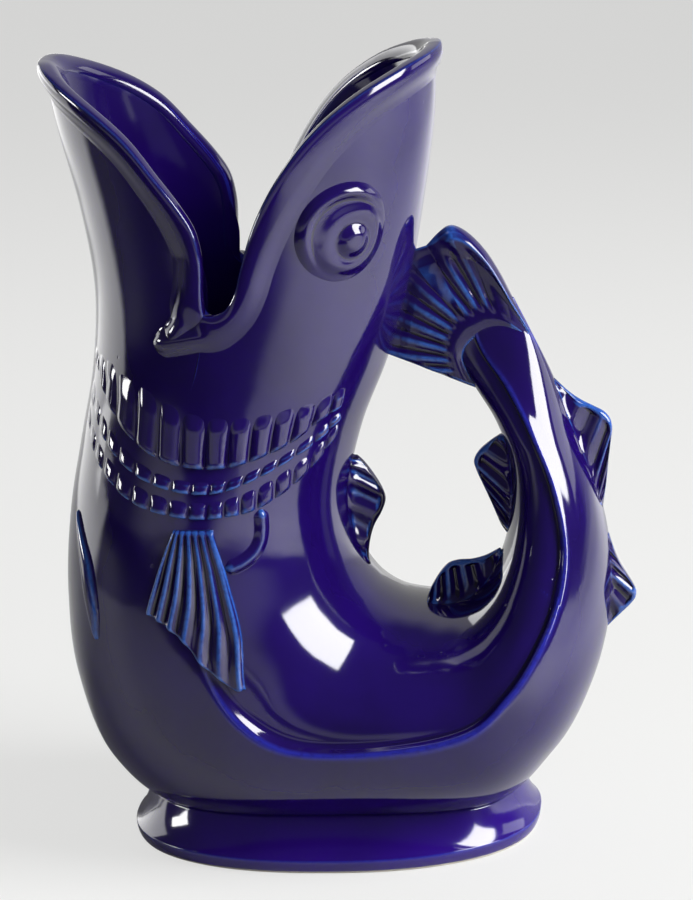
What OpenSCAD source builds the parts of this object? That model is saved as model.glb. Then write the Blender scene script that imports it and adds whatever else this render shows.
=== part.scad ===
// A gurgle jug: a hollow glazed fish that stands on an oval foot.
// The head opens upwards as the pouring mouth and the tail curls up as the handle.
// X runs from the belly to the back, Y across the flanks, Z up from the ground.
// The origin lies on the ground, half way between the belly and the tail's outer fin.

/* [Jug] */
// Height of the jug, from the ground to the tip of the upper jaw
jug_h = 238; // [200:1:280]
// Length of the body, from the front of the belly to the back of the tail
body_len = 162; // [140:1:185]
// Width of the belly across the flanks, without their ridges
belly_w = 106; // [90:1:125]
// Thickness of the cast clay wall
wall = 4.5; // [3.5:0.1:6]
// Clearance between two clay parts that lie on each other
seat_gap = 0.2; // [0.15:0.05:0.4]

/* [Foot] */
// Height of the foot, from the ground to its neck under the belly
foot_h = 15; // [12:0.5:18]
// Height of the band where the belly sits in the foot
foot_seat_h = 3; // [2:0.5:4]
// How far the foot flares past its neck at the two ends
foot_flare_end = 5; // [3:0.5:9]
// How far the foot flares past its neck at the two sides
foot_flare_side = 10; // [6:0.5:13]
// Height of the widest line of the foot
foot_edge_h = 4.5; // [3:0.5:6]
// Rounding under the widest line of the foot
foot_round = 2.5; // [1.5:0.5:3]

/* [Mouth] */
// Width of the rolled lip along each jaw
lip_w = 6; // [4:0.5:8]
// Height of the rolled lip above the skin
lip_h = 2.4; // [1.5:0.1:3.5]

/* [Flank ridge] */
// Height of the rounded ridge that runs along each flank
ridge_h = 1.2; // [0.6:0.1:2]
// Depth of the step on the back side of that ridge
groove_d = 2.6; // [1.5:0.1:3.2]

/* [Fins] */
// Thickness of the small fins where they stand on the body
fin_root_t = 6.4; // [5:0.2:8]
// Thickness of the small fins at their edge
fin_edge_t = 3; // [2:0.2:4.5]
// Thickness of the tail fin
tail_fin_t = 8; // [6:0.5:10]
// Height of the ribs on every fin
rib_h = 0.7; // [0.4:0.1:1.2]
// How far the pectoral fins stand off the flanks
pectoral_h = 2.2; // [1.5:0.1:3.5]
// How far the pelvic fins stand off the belly
pelvic_h = 1.8; // [1:0.1:3]
// Width of the hooked rib beside each pectoral fin
hook_w = 4.4; // [3:0.2:6]
// Height of the hooked rib
hook_h = 1.6; // [1:0.1:2.5]

/* [Head] */
// Radius of the raised disc round each eye
eye_r = 15; // [12:0.5:17]
// Height of the raised disc at its middle
eye_h = 4.2; // [3:0.1:6]
// Height of the flutes of the gill cover
gill_h = 2; // [1.4:0.1:3]
// Height of the teeth under the gill cover
tooth_h = 1.8; // [1.2:0.1:2.6]

/* [Hidden] */

glaze = [0.11, 0.07, 0.45];
glaze_deep = [0.08, 0.05, 0.33];
glaze_edge = [0.18, 0.28, 0.70];
left = 1;
right = -1;

// Stations along the fish, from above the open mouth, down the neck, round under
// the handle's loop and up to the end of the tail. Each cross-section is an oval
// in the plane that holds its two points and the Y direction.
// Columns: point on the belly line (x, z), point on the back line (x, z), half
// depth, where the flank ridge lies in degrees round the oval, and its strength.
// x follows body_len, z follows jug_h and the half depth follows belly_w.
station_shares = [
    [-0.469, 1.012, 0.238, 1.026, 0.406, 90, 0],
    [-0.448, 0.916, 0.232, 0.916, 0.401, 90, 0],
    [-0.414, 0.811, 0.207, 0.807, 0.396, 90, 0],
    [-0.396, 0.710, 0.174, 0.702, 0.392, 90, 0],
    [-0.407, 0.613, 0.130, 0.609, 0.396, 90, 0],
    [-0.436, 0.521, 0.078, 0.525, 0.410, 90, 0],
    [-0.464, 0.429, 0.049, 0.442, 0.434, 90, 0],
    [-0.478, 0.328, 0.062, 0.370, 0.462, 88, 0],
    [-0.469, 0.219, 0.099, 0.324, 0.486, 89, 0.6],
    [-0.412, 0.109, 0.145, 0.301, 0.500, 91, 1],
    [-0.278, 0.042, 0.191, 0.294, 0.505, 92, 1],
    [0.012, 0.029, 0.228, 0.294, 0.500, 94, 1],
    [0.290, 0.042, 0.262, 0.301, 0.481, 98, 1],
    [0.417, 0.111, 0.293, 0.320, 0.443, 98, 1],
    [0.484, 0.190, 0.318, 0.349, 0.387, 94, 1],
    [0.519, 0.277, 0.336, 0.386, 0.311, 87, 1],
    [0.522, 0.361, 0.346, 0.433, 0.245, 82, 0.9],
    [0.500, 0.442, 0.343, 0.483, 0.198, 85, 0.8],
    [0.463, 0.517, 0.321, 0.529, 0.160, 90, 0.7],
    [0.426, 0.584, 0.287, 0.568, 0.127, 95, 0.6],
    [0.392, 0.636, 0.256, 0.605, 0.094, 105, 0.4],
    [0.361, 0.681, 0.247, 0.643, 0.061, 112, 0.2]
];
tail_end = len(station_shares) - 1;
// Where the frame's origin lies on the same scale as x
middle_share = 0.046;
// Station where the handle is joined to the belly
tail_joint = 15;
// Station where the hollow of the tail ends
hollow_end = 18.6;
// Station where the even sides of the head end and the rows follow the mouth
jaw_base = 3.4;

// The mouth's edge: degrees round the oval from the belly line, and its station
mouth_edge = [
    [0, 0.22], [14, 0.24], [30, 0.41], [45, 0.66], [57, 0.98], [66, 1.40], [73, 1.75],
    [77, 2.02], [79.5, 2.35], [80.5, 2.80], [82, 2.94], [84, 2.92], [86, 2.80],
    [88.5, 2.60], [91, 2.35], [95, 2.00], [100, 1.66], [106.5, 1.30], [114, 0.98],
    [123, 0.72], [135, 0.50], [151, 0.34], [166, 0.27], [180, 0.24]
];
// Middle lines of the two lips, from the jaw's tip to its corner: station, degrees
lower_lip_line = [
    [0.36, 0], [0.38, 14], [0.55, 30], [0.81, 45], [1.12, 56], [1.52, 64.5],
    [1.90, 71], [2.27, 75.5], [2.52, 75.5], [2.76, 73], [2.96, 69]
];
upper_lip_line = [
    [0.38, 180], [0.40, 168], [0.48, 153], [0.64, 138], [0.86, 127], [1.12, 118],
    [1.42, 111], [1.78, 104.5], [2.12, 99.5], [2.43, 96], [2.72, 93.5], [2.98, 90],
    [3.18, 84], [3.28, 76], [3.33, 69], [3.36, 63]
];

// Columns round the body, counted along one flank
ridge_column = 12;
flank_columns = len(mouth_edge) - 1;
// How the flank ridge rises before its line and fades behind it, in degrees
ridge_rise = 10;
ridge_fall = 3;
step_span = 5;
groove_fade = 26;

// Small fins that stand in the middle plane. Each row gives the two stations of
// its root, the side of the body, the edge's points as shares of body_len and
// jug_h from the leading edge's tip to the root's second end, and its ribs.
neck_fin_root = [5.5, 7.6];
neck_fin_edge_shares = [[0.115, 0.428], [0.094, 0.397], [0.083, 0.378], [0.080, 0.357], [0.083, 0.344]];
loop_fin_root = [10, 14.3];
loop_fin_edge_shares = [[0.225, 0.346], [0.240, 0.350], [0.274, 0.351], [0.299, 0.355], [0.318, 0.361]];
inner_fin_root = [14.95, 17.8];
inner_fin_edge_shares = [[0.281, 0.478], [0.284, 0.488], [0.296, 0.496], [0.306, 0.507], [0.316, 0.516]];
upper_fin_root = [16.6, 18.95];
upper_fin_edge_shares = [[0.532, 0.518], [0.527, 0.528], [0.496, 0.542], [0.470, 0.554], [0.448, 0.568]];
lower_fin_root = [14.75, 16.25];
lower_fin_edge_shares = [[0.569, 0.305], [0.566, 0.319], [0.552, 0.337], [0.541, 0.353], [0.533, 0.371]];
fin_ribs = 5;

// The tail fin lies between the tail's back line, the head's back line and a free
// outline, given as shares of body_len and jug_h
tail_fin_root = [18.95, 21];
tail_fin_head = [3.92, 2.62];
tail_fin_outline_shares = [
    [0.207, 0.748], [0.228, 0.763], [0.247, 0.772], [0.266, 0.770], [0.290, 0.758],
    [0.316, 0.738], [0.342, 0.714], [0.368, 0.690]
];
tail_fin_ribs = 9;

// Outlines on the skin: station, degrees round the oval
pectoral_left_line = [[5.86, 83], [6.2, 79.5], [6.6, 75.5], [6.98, 71.5]];
pectoral_right_line = [[5.88, 99], [6.6, 105], [7.5, 106.5], [8.47, 100]];
pectoral_edge_line = [
    [6.98, 71.5], [7.12, 77], [7.28, 81.5], [7.5, 86], [7.84, 89.5], [8.12, 93], [8.42, 96.5],
    [8.47, 100]
];
pectoral_ribs = 7;
pelvic_line = [[5.84, 28], [6.4, 39], [6.9, 43.5], [7.4, 45.5]];
pelvic_half_deg = 4.2;
hook_line = [[5.84, 113.5], [5.98, 117], [6.2, 118.5], [6.42, 116], [6.55, 111.5], [6.58, 107]];
gill_top_line = [
    [3.56, 20], [3.60, 34], [3.68, 48], [3.94, 64], [4.12, 77], [4.20, 89], [4.20, 101],
    [4.16, 112], [4.10, 123], [4.05, 134], [4.02, 143]
];
gill_rim_line = [
    [3.76, 17], [4.12, 30], [4.42, 43], [4.78, 61], [4.98, 77], [5.05, 91], [5.03, 103],
    [4.93, 114], [4.78, 124.5], [4.52, 135], [4.40, 143]
];
gill_ribs = 14;
teeth_line = [
    [4.34, 15], [4.66, 32], [4.92, 46], [5.18, 62], [5.34, 77], [5.41, 91], [5.38, 102],
    [5.25, 113], [5.08, 124.5], [4.86, 138], [4.58, 147]
];
teeth_rim_line = [
    [4.56, 18], [4.98, 32], [5.28, 47], [5.54, 63], [5.67, 78], [5.74, 92], [5.74, 104],
    [5.70, 115], [5.52, 127], [5.22, 139], [4.82, 148]
];
teeth_count = 17;
// Middle of the eye's disc: station, degrees
eye_place = [2.11, 127.5];

function mix(a, b, t) = a + (b - a) * t;
function held(t) = max(0, min(1, t));
function smooth(t) = held(t) * held(t) * (3 - 2 * held(t));
function unit(v) = v / norm(v);

// A smooth curve through the rows of a table; t counts rows from 0
function through(table, t) =
    let (last = len(table) - 1, i = min(floor(max(t, 0)), last - 1), f = t - i)
    let (p1 = table[i], p2 = table[i + 1])
    let (p0 = i > 0 ? table[i - 1] : 2 * p1 - p2)
    let (p3 = i < last - 1 ? table[i + 2] : 2 * p2 - p1)
    (2 * p1 + (p2 - p0) * f + (2 * p0 - 5 * p1 + 4 * p2 - p3) * f * f
        + (3 * p1 - p0 - 3 * p2 + p3) * f * f * f) / 2;
function along(table, share) = through(table, held(share) * (len(table) - 1));

// Ridge and groove of the flank, at d degrees behind the ridge's line
function relief(d, strength) =
    strength * (ridge_h * exp(-pow(d / (d < 0 ? ridge_rise : ridge_fall), 2))
        - groove_d * smooth(d / step_span) * exp(-max(d, 0) / groove_fade));

// Point in the middle plane from its two shares
function place(x_share, z_share) = [(x_share - middle_share) * body_len, z_share * jug_h];

// Point on the fish's skin, lifted off it; deg runs round the oval from the belly
// line, towards -Y where it is positive
function skin(station, deg, lift = 0) =
    let (s = through(station_shares, station))
    let (belly = place(s[0], s[1]), back = place(s[2], s[3]))
    let (half = norm(belly - back) / 2, side = s[4] * belly_w, e = unit(belly - back))
    let (off = lift + relief(abs(deg) - s[5], max(0, s[6])))
    let (out = unit([cos(deg) / half, sin(deg) / side]))
    let (p = (belly + back) / 2 + e * (half * cos(deg) + off * out[0]))
    [p[0], -side * sin(deg) - off * out[1], p[1]];

// Direction straight out of the skin
d_station = 0.02;
d_deg = 0.5;
function skin_out(station, deg) =
    let (a = skin(station + d_station, deg) - skin(station - d_station, deg))
    let (b = skin(station, deg + d_deg) - skin(station, deg - d_deg))
    unit(cross(a, b));

// Millimetres of skin per station and per degree
function skin_scale(station, deg) = [
    norm(skin(station + d_station, deg) - skin(station - d_station, deg)) / (2 * d_station),
    norm(skin(station, deg + d_deg) - skin(station, deg - d_deg)) / (2 * d_deg)
];

// Faces of a sheet of points with the given rows and columns; a wrapped sheet
// joins its last column, or row, to its first
function sheet_faces(rows, columns, wrap_columns, wrap_rows) = [
    for (i = [0 : rows - (wrap_rows ? 1 : 2)], j = [0 : columns - (wrap_columns ? 1 : 2)])
        let (k = (i + 1) % rows, m = (j + 1) % columns)
        let (a = i * columns + j, b = i * columns + m, c = k * columns + j, d = k * columns + m)
        each [[a, b, d], [a, d, c]]
];

// A solid whose rings close on themselves in both directions
module ring_loop(rings) {
    polyhedron(
        points = [for (r = rings) each r],
        faces = sheet_faces(len(rings), len(rings[0]), true, true),
        convexity = 8
    );
}

// A solid of rings with a point that closes each end
module capped_loft(first_tip, rings, last_tip) {
    columns = len(rings[0]);
    n = len(rings) * columns;
    polyhedron(
        points = concat([for (r = rings) each r], [first_tip, last_tip]),
        faces = concat(
            sheet_faces(len(rings), columns, true, false),
            [for (j = [0 : columns - 1]) [n, (j + 1) % columns, j]],
            [for (j = [0 : columns - 1]) [n + 1, n - columns + j, n - columns + (j + 1) % columns]]
        ),
        convexity = 8
    );
}

// A solid between an upper and a lower sheet of points with the same rows and columns
module plate(upper, lower) {
    rows = len(upper);
    columns = len(upper[0]);
    rings = [for (i = [0 : rows - 1]) concat(upper[i], [for (j = [columns - 1 : -1 : 0]) lower[i][j]])];
    around = 2 * columns;
    last = (rows - 1) * around;
    polyhedron(
        points = [for (r = rings) each r],
        faces = concat(
            sheet_faces(rows, around, true, false),
            [for (j = [0 : columns - 2]) each [
                [j, around - 1 - j, j + 1], [j + 1, around - 1 - j, around - 2 - j]
            ]],
            [for (j = [0 : columns - 2]) each [
                [last + j, last + j + 1, last + around - 1 - j],
                [last + j + 1, last + around - 2 - j, last + around - 1 - j]
            ]]
        ),
        convexity = 6
    );
}

// Body: columns that follow the mouth's edge on the head and the ridge below it
head_deg = [for (k = mouth_edge) k[0]];
function body_deg(k, ridge) = k <= ridge_column
    ? ridge * k / ridge_column
    : mix(ridge + step_span, 180, (k - ridge_column - 1) / (flank_columns - ridge_column - 1));
columns_meet = 6.8;
function flank_deg(k, station) =
    let (ridge = through(station_shares, station)[5])
    let (t = smooth((station - jaw_base) / (columns_meet - jaw_base)))
    mix(head_deg[k], body_deg(k, ridge), t);
// Column k round the whole oval: the near flank, then the far flank
function round_deg(k, station) = k <= flank_columns
    ? flank_deg(k, station)
    : -flank_deg(2 * flank_columns - k, station);
function jaw_station(k, t) =
    let (e = mouth_edge[k <= flank_columns ? k : 2 * flank_columns - k][1]) mix(e, jaw_base, t);
function body_ring(station, lift) = [
    for (k = [0 : 2 * flank_columns - 1]) skin(station, round_deg(k, station), lift)
];
function jaw_ring(t, lift) = [
    for (k = [0 : 2 * flank_columns - 1]) skin(jaw_station(k, t), round_deg(k, 0), lift)
];
jaw_rows = 8;
inner_jaw_rows = 5;
body_rows = 24;
inner_body_rows = 11;

module body_shell() {
    outer_jaw = [for (i = [0 : jaw_rows - 1]) jaw_ring(i / jaw_rows, 0)];
    outer_body = [for (i = [0 : body_rows]) body_ring(mix(jaw_base, tail_joint, i / body_rows), 0)];
    inner_body = [
        for (i = [inner_body_rows : -1 : 0]) body_ring(mix(jaw_base, tail_joint, i / inner_body_rows), -wall)
    ];
    inner_jaw = [for (i = [inner_jaw_rows - 1 : -1 : 0]) jaw_ring(i / inner_jaw_rows, -wall)];
    color(glaze) ring_loop(concat(outer_jaw, outer_body, inner_body, inner_jaw));
}

// Handle: the hollow tail, open to the belly at the joint
tail_columns = 16;
tail_rows = 13;
tail_inner_rows = 7;
function tail_deg(k, station) =
    let (ridge = through(station_shares, station)[5], n = tail_columns, h = n / 2)
    let (j = k <= n ? k : 2 * n - k, sign = k <= n ? 1 : -1)
    sign * (j <= h ? ridge * j / h : mix(ridge + step_span, 180, (j - h - 1) / (h - 1)));
function tail_ring(station, lift) = [
    for (k = [0 : 2 * tail_columns - 1]) skin(station, tail_deg(k, station), lift)
];
function values(points, axis) = [for (p = points) p[axis]];
function middle(ring) = [for (axis = [0 : 2]) (max(values(ring, axis)) + min(values(ring, axis))) / 2];
module tail_handle() {
    inner = [for (i = [tail_inner_rows : -1 : 0])
        tail_ring(mix(tail_joint, hollow_end, i / tail_inner_rows), -wall)];
    outer = [for (i = [0 : tail_rows]) tail_ring(mix(tail_joint, tail_end, i / tail_rows), 0)];
    hollow_tip = middle(tail_ring(hollow_end, -wall));
    tip = middle(tail_ring(tail_end, 0));
    color(glaze) capped_loft(hollow_tip, concat(inner, outer), tip);
}

// Foot: a flared ring whose inner band follows the belly
foot_columns = 22;
foot_steps = 24;
function line_station(z, low, high, n) = n == 0
    ? (low + high) / 2
    : let (m = (low + high) / 2, above = skin(m, 0)[2] > z, falling = skin(low, 0)[2] > z)
      above == falling ? line_station(z, m, high, n - 1) : line_station(z, low, m, n - 1);
foot_front_search = [8, 11];
foot_back_search = [11, 14];
function oval_deg(station, z) =
    let (front = skin(station, 0), back = skin(station, 180))
    let (c = (front[2] + back[2]) / 2, half = (front[2] - back[2]) / 2)
    acos(max(-1, min(1, (z - c) / half)));
function belly_line(z) =
    let (u1 = line_station(z, foot_front_search[0], foot_front_search[1], foot_steps))
    let (u2 = line_station(z, foot_back_search[0], foot_back_search[1], foot_steps))
    let (near = [for (i = [0 : foot_columns])
        let (u = mix(u1, u2, (1 - cos(180 * i / foot_columns)) / 2)) skin(u, oval_deg(u, z), seat_gap)])
    concat(near, [for (i = [foot_columns - 1 : -1 : 1]) [near[i][0], -near[i][1], near[i][2]]]);
// Squareness of the foot's outline: 2 is an ellipse
foot_power = 2.3;
// Flare of the foot from its neck to its widest line, and the turn under that line
foot_profile_shares = [[0.10, 0.88], [0.34, 0.52], [0.72, 0.16]];
foot_turn_deg = [0, 38, 66, 90];
module foot_ring() {
    neck = belly_line(foot_h);
    seat = belly_line(foot_h - foot_seat_h);
    half = [(max(values(neck, 0)) - min(values(neck, 0))) / 2, max(values(neck, 1))];
    centre = middle(neck)[0];
    rings = [for (j = [len(neck) - 1 : -1 : 0])
        let (n = neck[j], s = seat[j], a = atan2(n[1] / half[1], (n[0] - centre) / half[0]))
        let (c = sign(cos(a)) * pow(abs(cos(a)), 2 / foot_power))
        let (d = sign(sin(a)) * pow(abs(sin(a)), 2 / foot_power))
        let (o = [centre + (half[0] + foot_flare_end) * c, (half[1] + foot_flare_side) * d])
        let (flat = unit([o[0] - n[0], o[1] - n[1]]), last = o - flat * foot_round)
        [
            n,
            for (q = foot_profile_shares)
                [mix(n[0], o[0], q[0]), mix(n[1], o[1], q[0]), mix(foot_edge_h, foot_h, q[1])],
            for (t = foot_turn_deg)
                [mix(last[0], o[0], cos(t)), mix(last[1], o[1], cos(t)), foot_edge_h * (1 - sin(t))],
            [s[0], s[1], 0],
            s
        ]];
    color(glaze) ring_loop(rings);
}

// A rounded bead that lies on the skin along spots of station and degrees, and
// gets low and narrow over its first and last few rings
bead_deg = [180, 135, 90, 45, 0];
bead_end_share = 0.45;
module bead(spots, width, height, taper) {
    n = len(spots) - 1;
    points = [for (s = spots) skin(s[0], s[1], seat_gap)];
    rings = [for (i = [0 : n])
        let (run = unit(points[min(i + 1, n)] - points[max(i - 1, 0)]))
        let (out = skin_out(spots[i][0], spots[i][1]), across = unit(cross(out, run)))
        let (full = mix(bead_end_share, 1, smooth(min(i, n - i) / taper)))
        [for (a = bead_deg) points[i] + (across * width / 2 * cos(a) + out * height * sin(a)) * full]
    ];
    color(glaze_edge) capped_loft(points[0], rings, points[n]);
}
function spots_along(line, steps) = [for (i = [0 : (len(line) - 1) * steps]) through(line, i / steps)];

// Lips: beads along the two jaws, the same on both flanks
lip_steps = 2;
lip_taper = 4;
function mirrored_line(line) = concat(
    [for (i = [len(line) - 1 : -1 : 1]) [line[i][0], 2 * line[0][1] - line[i][1]]], line
);
module lip(line) { bead(spots_along(mirrored_line(line), lip_steps), lip_w, lip_h, lip_taper); }
module lower_lip() { lip(lower_lip_line); }
module upper_lip() { lip(upper_lip_line); }

// Fins in the middle plane: ribs fan from the root to the edge
function ribs(share, count) = rib_h * (abs(cos(180 * share * count)) - 1);
rib_points = 2;
rib_ramp = 3;
fin_rows = 4;
function free_point(edge, share) = let (p = along(edge, share), q = place(p[0], p[1])) [q[0], 0, q[1]];
function fin_sheet(root, side, edge, hand) = [
    for (i = [0 : fin_rows]) let (t = i / fin_rows) [
        for (j = [0 : rib_points * fin_ribs]) let (s = j / (rib_points * fin_ribs))
            let (p = mix(skin(mix(root[0], root[1], s), side, seat_gap), free_point(edge, s), t))
            let (thick = mix(fin_root_t, fin_edge_t, t) / 2 + ribs(s, fin_ribs) * min(1, rib_ramp * t))
            [p[0], -hand * thick, p[2]]
    ]
];
module small_fin(root, side, edge) {
    near = fin_sheet(root, side, edge, left);
    far = fin_sheet(root, side, edge, right);
    if (side == 0) color(glaze_edge) plate(near, far);
    else color(glaze_edge) plate(far, near);
}
module neck_fin() { small_fin(neck_fin_root, 180, neck_fin_edge_shares); }
module loop_fin() { small_fin(loop_fin_root, 180, loop_fin_edge_shares); }
module tail_fin_inner() { small_fin(inner_fin_root, 180, inner_fin_edge_shares); }
module anal_fin_upper() { small_fin(upper_fin_root, 0, upper_fin_edge_shares); }
module anal_fin_lower() { small_fin(lower_fin_root, 0, lower_fin_edge_shares); }

// Tail fin: a ribbed fan from the end of the tail to the back of the head
tail_fin_half = 0.5;
tail_fin_end_share = 0.05;
// Rows from the tail to the rim, with the thickness of the web and of the free border
tail_fin_shares = [
    [0, 0.86, 0.86], [0.25, 0.76, 0.76], [0.62, 0.72, 0.74],
    [0.84, 0.72, 1.1], [0.94, 0.72, 1.2], [1, 0.72, 0.7]
];
border_ramp = 8;
function tail_fin_base(s) = s < tail_fin_half
    ? skin(mix(tail_fin_root[0], tail_fin_root[1], s / tail_fin_half), 180, seat_gap)
    : let (a = skin(tail_end, 180), b = skin(tail_end, 0), run = unit(b - a), up = cross(run, [0, 1, 0]))
      let (t = (s - tail_fin_half) / (1 - tail_fin_half))
      mix(a, b, t * (1 - tail_fin_end_share)) + (up - run * (1 - t)) * seat_gap;
function tail_fin_rim(s) = s < tail_fin_half
    ? skin(mix(tail_fin_head[0], tail_fin_head[1], s / tail_fin_half), 180, seat_gap)
    : free_point(tail_fin_outline_shares, (s - tail_fin_half) / (1 - tail_fin_half));
function tail_fin_sheet(hand) = [
    for (row = tail_fin_shares) let (t = row[0]) [
        for (j = [0 : rib_points * tail_fin_ribs]) let (s = j / (rib_points * tail_fin_ribs))
            let (p = mix(tail_fin_base(s), tail_fin_rim(s), t))
            let (body = tail_fin_t / 2 * mix(row[1], row[2], held((s - tail_fin_half) * border_ramp)))
            [p[0], -hand * (body + ribs(s, tail_fin_ribs) * min(1, rib_ramp * t)), p[2]]
    ]
];
module tail_fin() {
    color(glaze_edge) plate(tail_fin_sheet(right), tail_fin_sheet(left));
}

// Reliefs that lie on the skin: a sheet of [station, degrees, height]
module on_skin(sheet, hand) {
    top = [for (r = sheet) [for (p = r) skin(p[0], hand * p[1], seat_gap + p[2])]];
    base = [for (r = sheet) [for (p = r) skin(p[0], hand * p[1], seat_gap)]];
    if (hand == left) plate(top, base);
    else plate(base, top);
}

pectoral_rows = 5;
pectoral_front_share = 0.5;
module pectoral_fin(hand) {
    n = rib_points * pectoral_ribs;
    color(glaze_edge) on_skin([
        for (i = [0 : pectoral_rows]) let (t = i / pectoral_rows) [
            for (j = [0 : n]) let (s = j / n)
                let (a = along(pectoral_left_line, t), b = along(pectoral_right_line, t))
                let (straight = mix(pectoral_left_line[3], pectoral_right_line[3], s))
                let (p = mix(a, b, s) + (along(pectoral_edge_line, s) - straight) * t)
                let (rib = ribs(s, pectoral_ribs) * min(1, rib_ramp * t))
                [p[0], p[1], pectoral_h * mix(pectoral_front_share, 1, s) + rib]
        ]
    ], hand);
}
module pectoral_fin_left() { pectoral_fin(left); }
module pectoral_fin_right() { pectoral_fin(right); }

pelvic_rows = 8;
pelvic_across = [-1, -0.5, 0, 0.5, 1];
pelvic_end_share = 0.15;
pelvic_edge_share = 0.2;
module pelvic_fin(hand) {
    color(glaze_edge) on_skin([
        for (i = [0 : pelvic_rows]) let (t = i / pelvic_rows, c = along(pelvic_line, t)) [
            for (q = pelvic_across)
                [c[0], c[1] + q * pelvic_half_deg * mix(pelvic_end_share, 1, sin(180 * t)),
                    pelvic_h * mix(1, pelvic_edge_share, abs(q)) * mix(pelvic_end_share, 1, sin(180 * t))]
        ]
    ], hand);
}
module pelvic_fin_left() { pelvic_fin(left); }
module pelvic_fin_right() { pelvic_fin(right); }

// Hooked ribs: curved beads that run down from the teeth to the pectoral fins
hook_steps = 3;
module fin_hook(hand) {
    bead([for (s = spots_along(hook_line, hook_steps)) [s[0], hand * s[1]]], hook_w, hook_h, hook_steps);
}
module fin_hook_left() { fin_hook(left); }
module fin_hook_right() { fin_hook(right); }

// Gill cover: a crescent of rounded ribs, each with a rounded top and foot
rib_columns = 3;
gill_rise_shares = [[0, 0.15], [0.14, 0.85], [1, 1]];
gill_valley_share = 0.4;
gill_scallop_share = 0.12;
module gill_cover(hand) {
    n = rib_columns * gill_ribs;
    color(glaze_deep) on_skin([
        for (row = gill_rise_shares) [
            for (j = [0 : n]) let (s = j / n, crest = sqrt(abs(sin(180 * s * gill_ribs))))
                let (short = gill_scallop_share * (1 - crest), t = mix(short, 1 - short, row[0]))
                let (p = mix(along(gill_top_line, s), along(gill_rim_line, s), t))
                [p[0], p[1], gill_h * row[1] * mix(gill_valley_share, 1, crest)]
        ]
    ], hand);
}
module gill_cover_left() { gill_cover(left); }
module gill_cover_right() { gill_cover(right); }

// Teeth: two rows of rounded beads under the gill cover, as rings of a share of
// the tooth's half size at a share of its height
tooth_share = 0.88;
tooth_ring_deg = [0, 60, 120, 180, 240, 300];
tooth_profile_shares = [[1, 0], [0.8, 0.75]];
module tooth_row(upper, lower, hand) {
    function spot(k, a, r, h) =
        let (s = (k + (1 + tooth_share * r * cos(a)) / 2) / teeth_count)
        let (t = (1 + tooth_share * r * sin(a)) / 2)
        let (p = mix(along(upper, s), along(lower, s), t))
        skin(p[0], hand * p[1], seat_gap + tooth_h * h);
    for (k = [0 : teeth_count - 1]) {
        rings = [for (q = tooth_profile_shares) [for (a = tooth_ring_deg) spot(k, hand * a, q[0], q[1])]];
        color(glaze_deep) capped_loft(spot(k, 0, 0, 0), rings, spot(k, 0, 0, 1));
    }
}
module gill_teeth(hand) {
    tooth_row(gill_rim_line, teeth_line, hand);
    tooth_row(teeth_line, teeth_rim_line, hand);
}
module gill_teeth_left() { gill_teeth(left); }
module gill_teeth_right() { gill_teeth(right); }

// Eyes: a raised disc that is thick as a brow in front and above, and on it a round
// ridge with a domed pupil. Columns: share of eye_r, share of eye_h, and how much of
// the ridge's shift the ring takes.
eye_profile_shares = [
    [0.14, 0.96, 1], [0.27, 0.84, 1], [0.37, 0.5, 1], [0.44, 0.46, 1], [0.53, 0.86, 1],
    [0.64, 1, 1], [0.75, 0.72, 1], [0.82, 0.42, 0.95], [0.92, 0.5, 0.2], [1, 0.08, 0]
];
eye_shift_share = 0.16;
eye_columns = 20;
eye_base_rings = 2;
module eye(hand) {
    size = skin_scale(eye_place[0], eye_place[1]);
    function spot(r, a, h, shift) =
        let (station = eye_place[0] + (r * cos(a) + shift) / size[0])
        let (deg = eye_place[1] + (r * sin(a) + shift) / size[1])
        skin(station, hand * deg, seat_gap + h);
    function eye_ring(r, h, shift) = [
        for (j = [0 : eye_columns - 1]) spot(r, hand * 360 * j / eye_columns, h, shift)
    ];
    shift = eye_r * eye_shift_share;
    rings = concat(
        [for (q = eye_profile_shares) eye_ring(q[0] * eye_r, q[1] * eye_h, q[2] * shift)],
        [for (i = [eye_base_rings : -1 : 1]) eye_ring(eye_r * i / eye_base_rings, 0, 0)]
    );
    color(glaze) capped_loft(spot(0, 0, eye_h, shift), rings, spot(0, 0, 0, 0));
}
module eye_left() { eye(left); }
module eye_right() { eye(right); }

body_shell();
tail_handle();
foot_ring();
lower_lip();
upper_lip();
tail_fin();
neck_fin();
loop_fin();
tail_fin_inner();
anal_fin_upper();
anal_fin_lower();
pectoral_fin_left();
pectoral_fin_right();
pelvic_fin_left();
pelvic_fin_right();
eye_left();
eye_right();
gill_cover_left();
gill_cover_right();
gill_teeth_left();
gill_teeth_right();
fin_hook_left();
fin_hook_right();
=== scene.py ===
# %% [markdown]
# This lesson dresses a gurgle jug, a hollow fish of glazed clay that stands on an oval foot. The clay parts
# already exist as plain solids at their real size. Here each of them gets the soft, poured form that casting
# and glazing give it, and then the cobalt glaze itself. Every piece is built in metres in the same frame, so
# a piece goes exactly where its plain solid lies.

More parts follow.
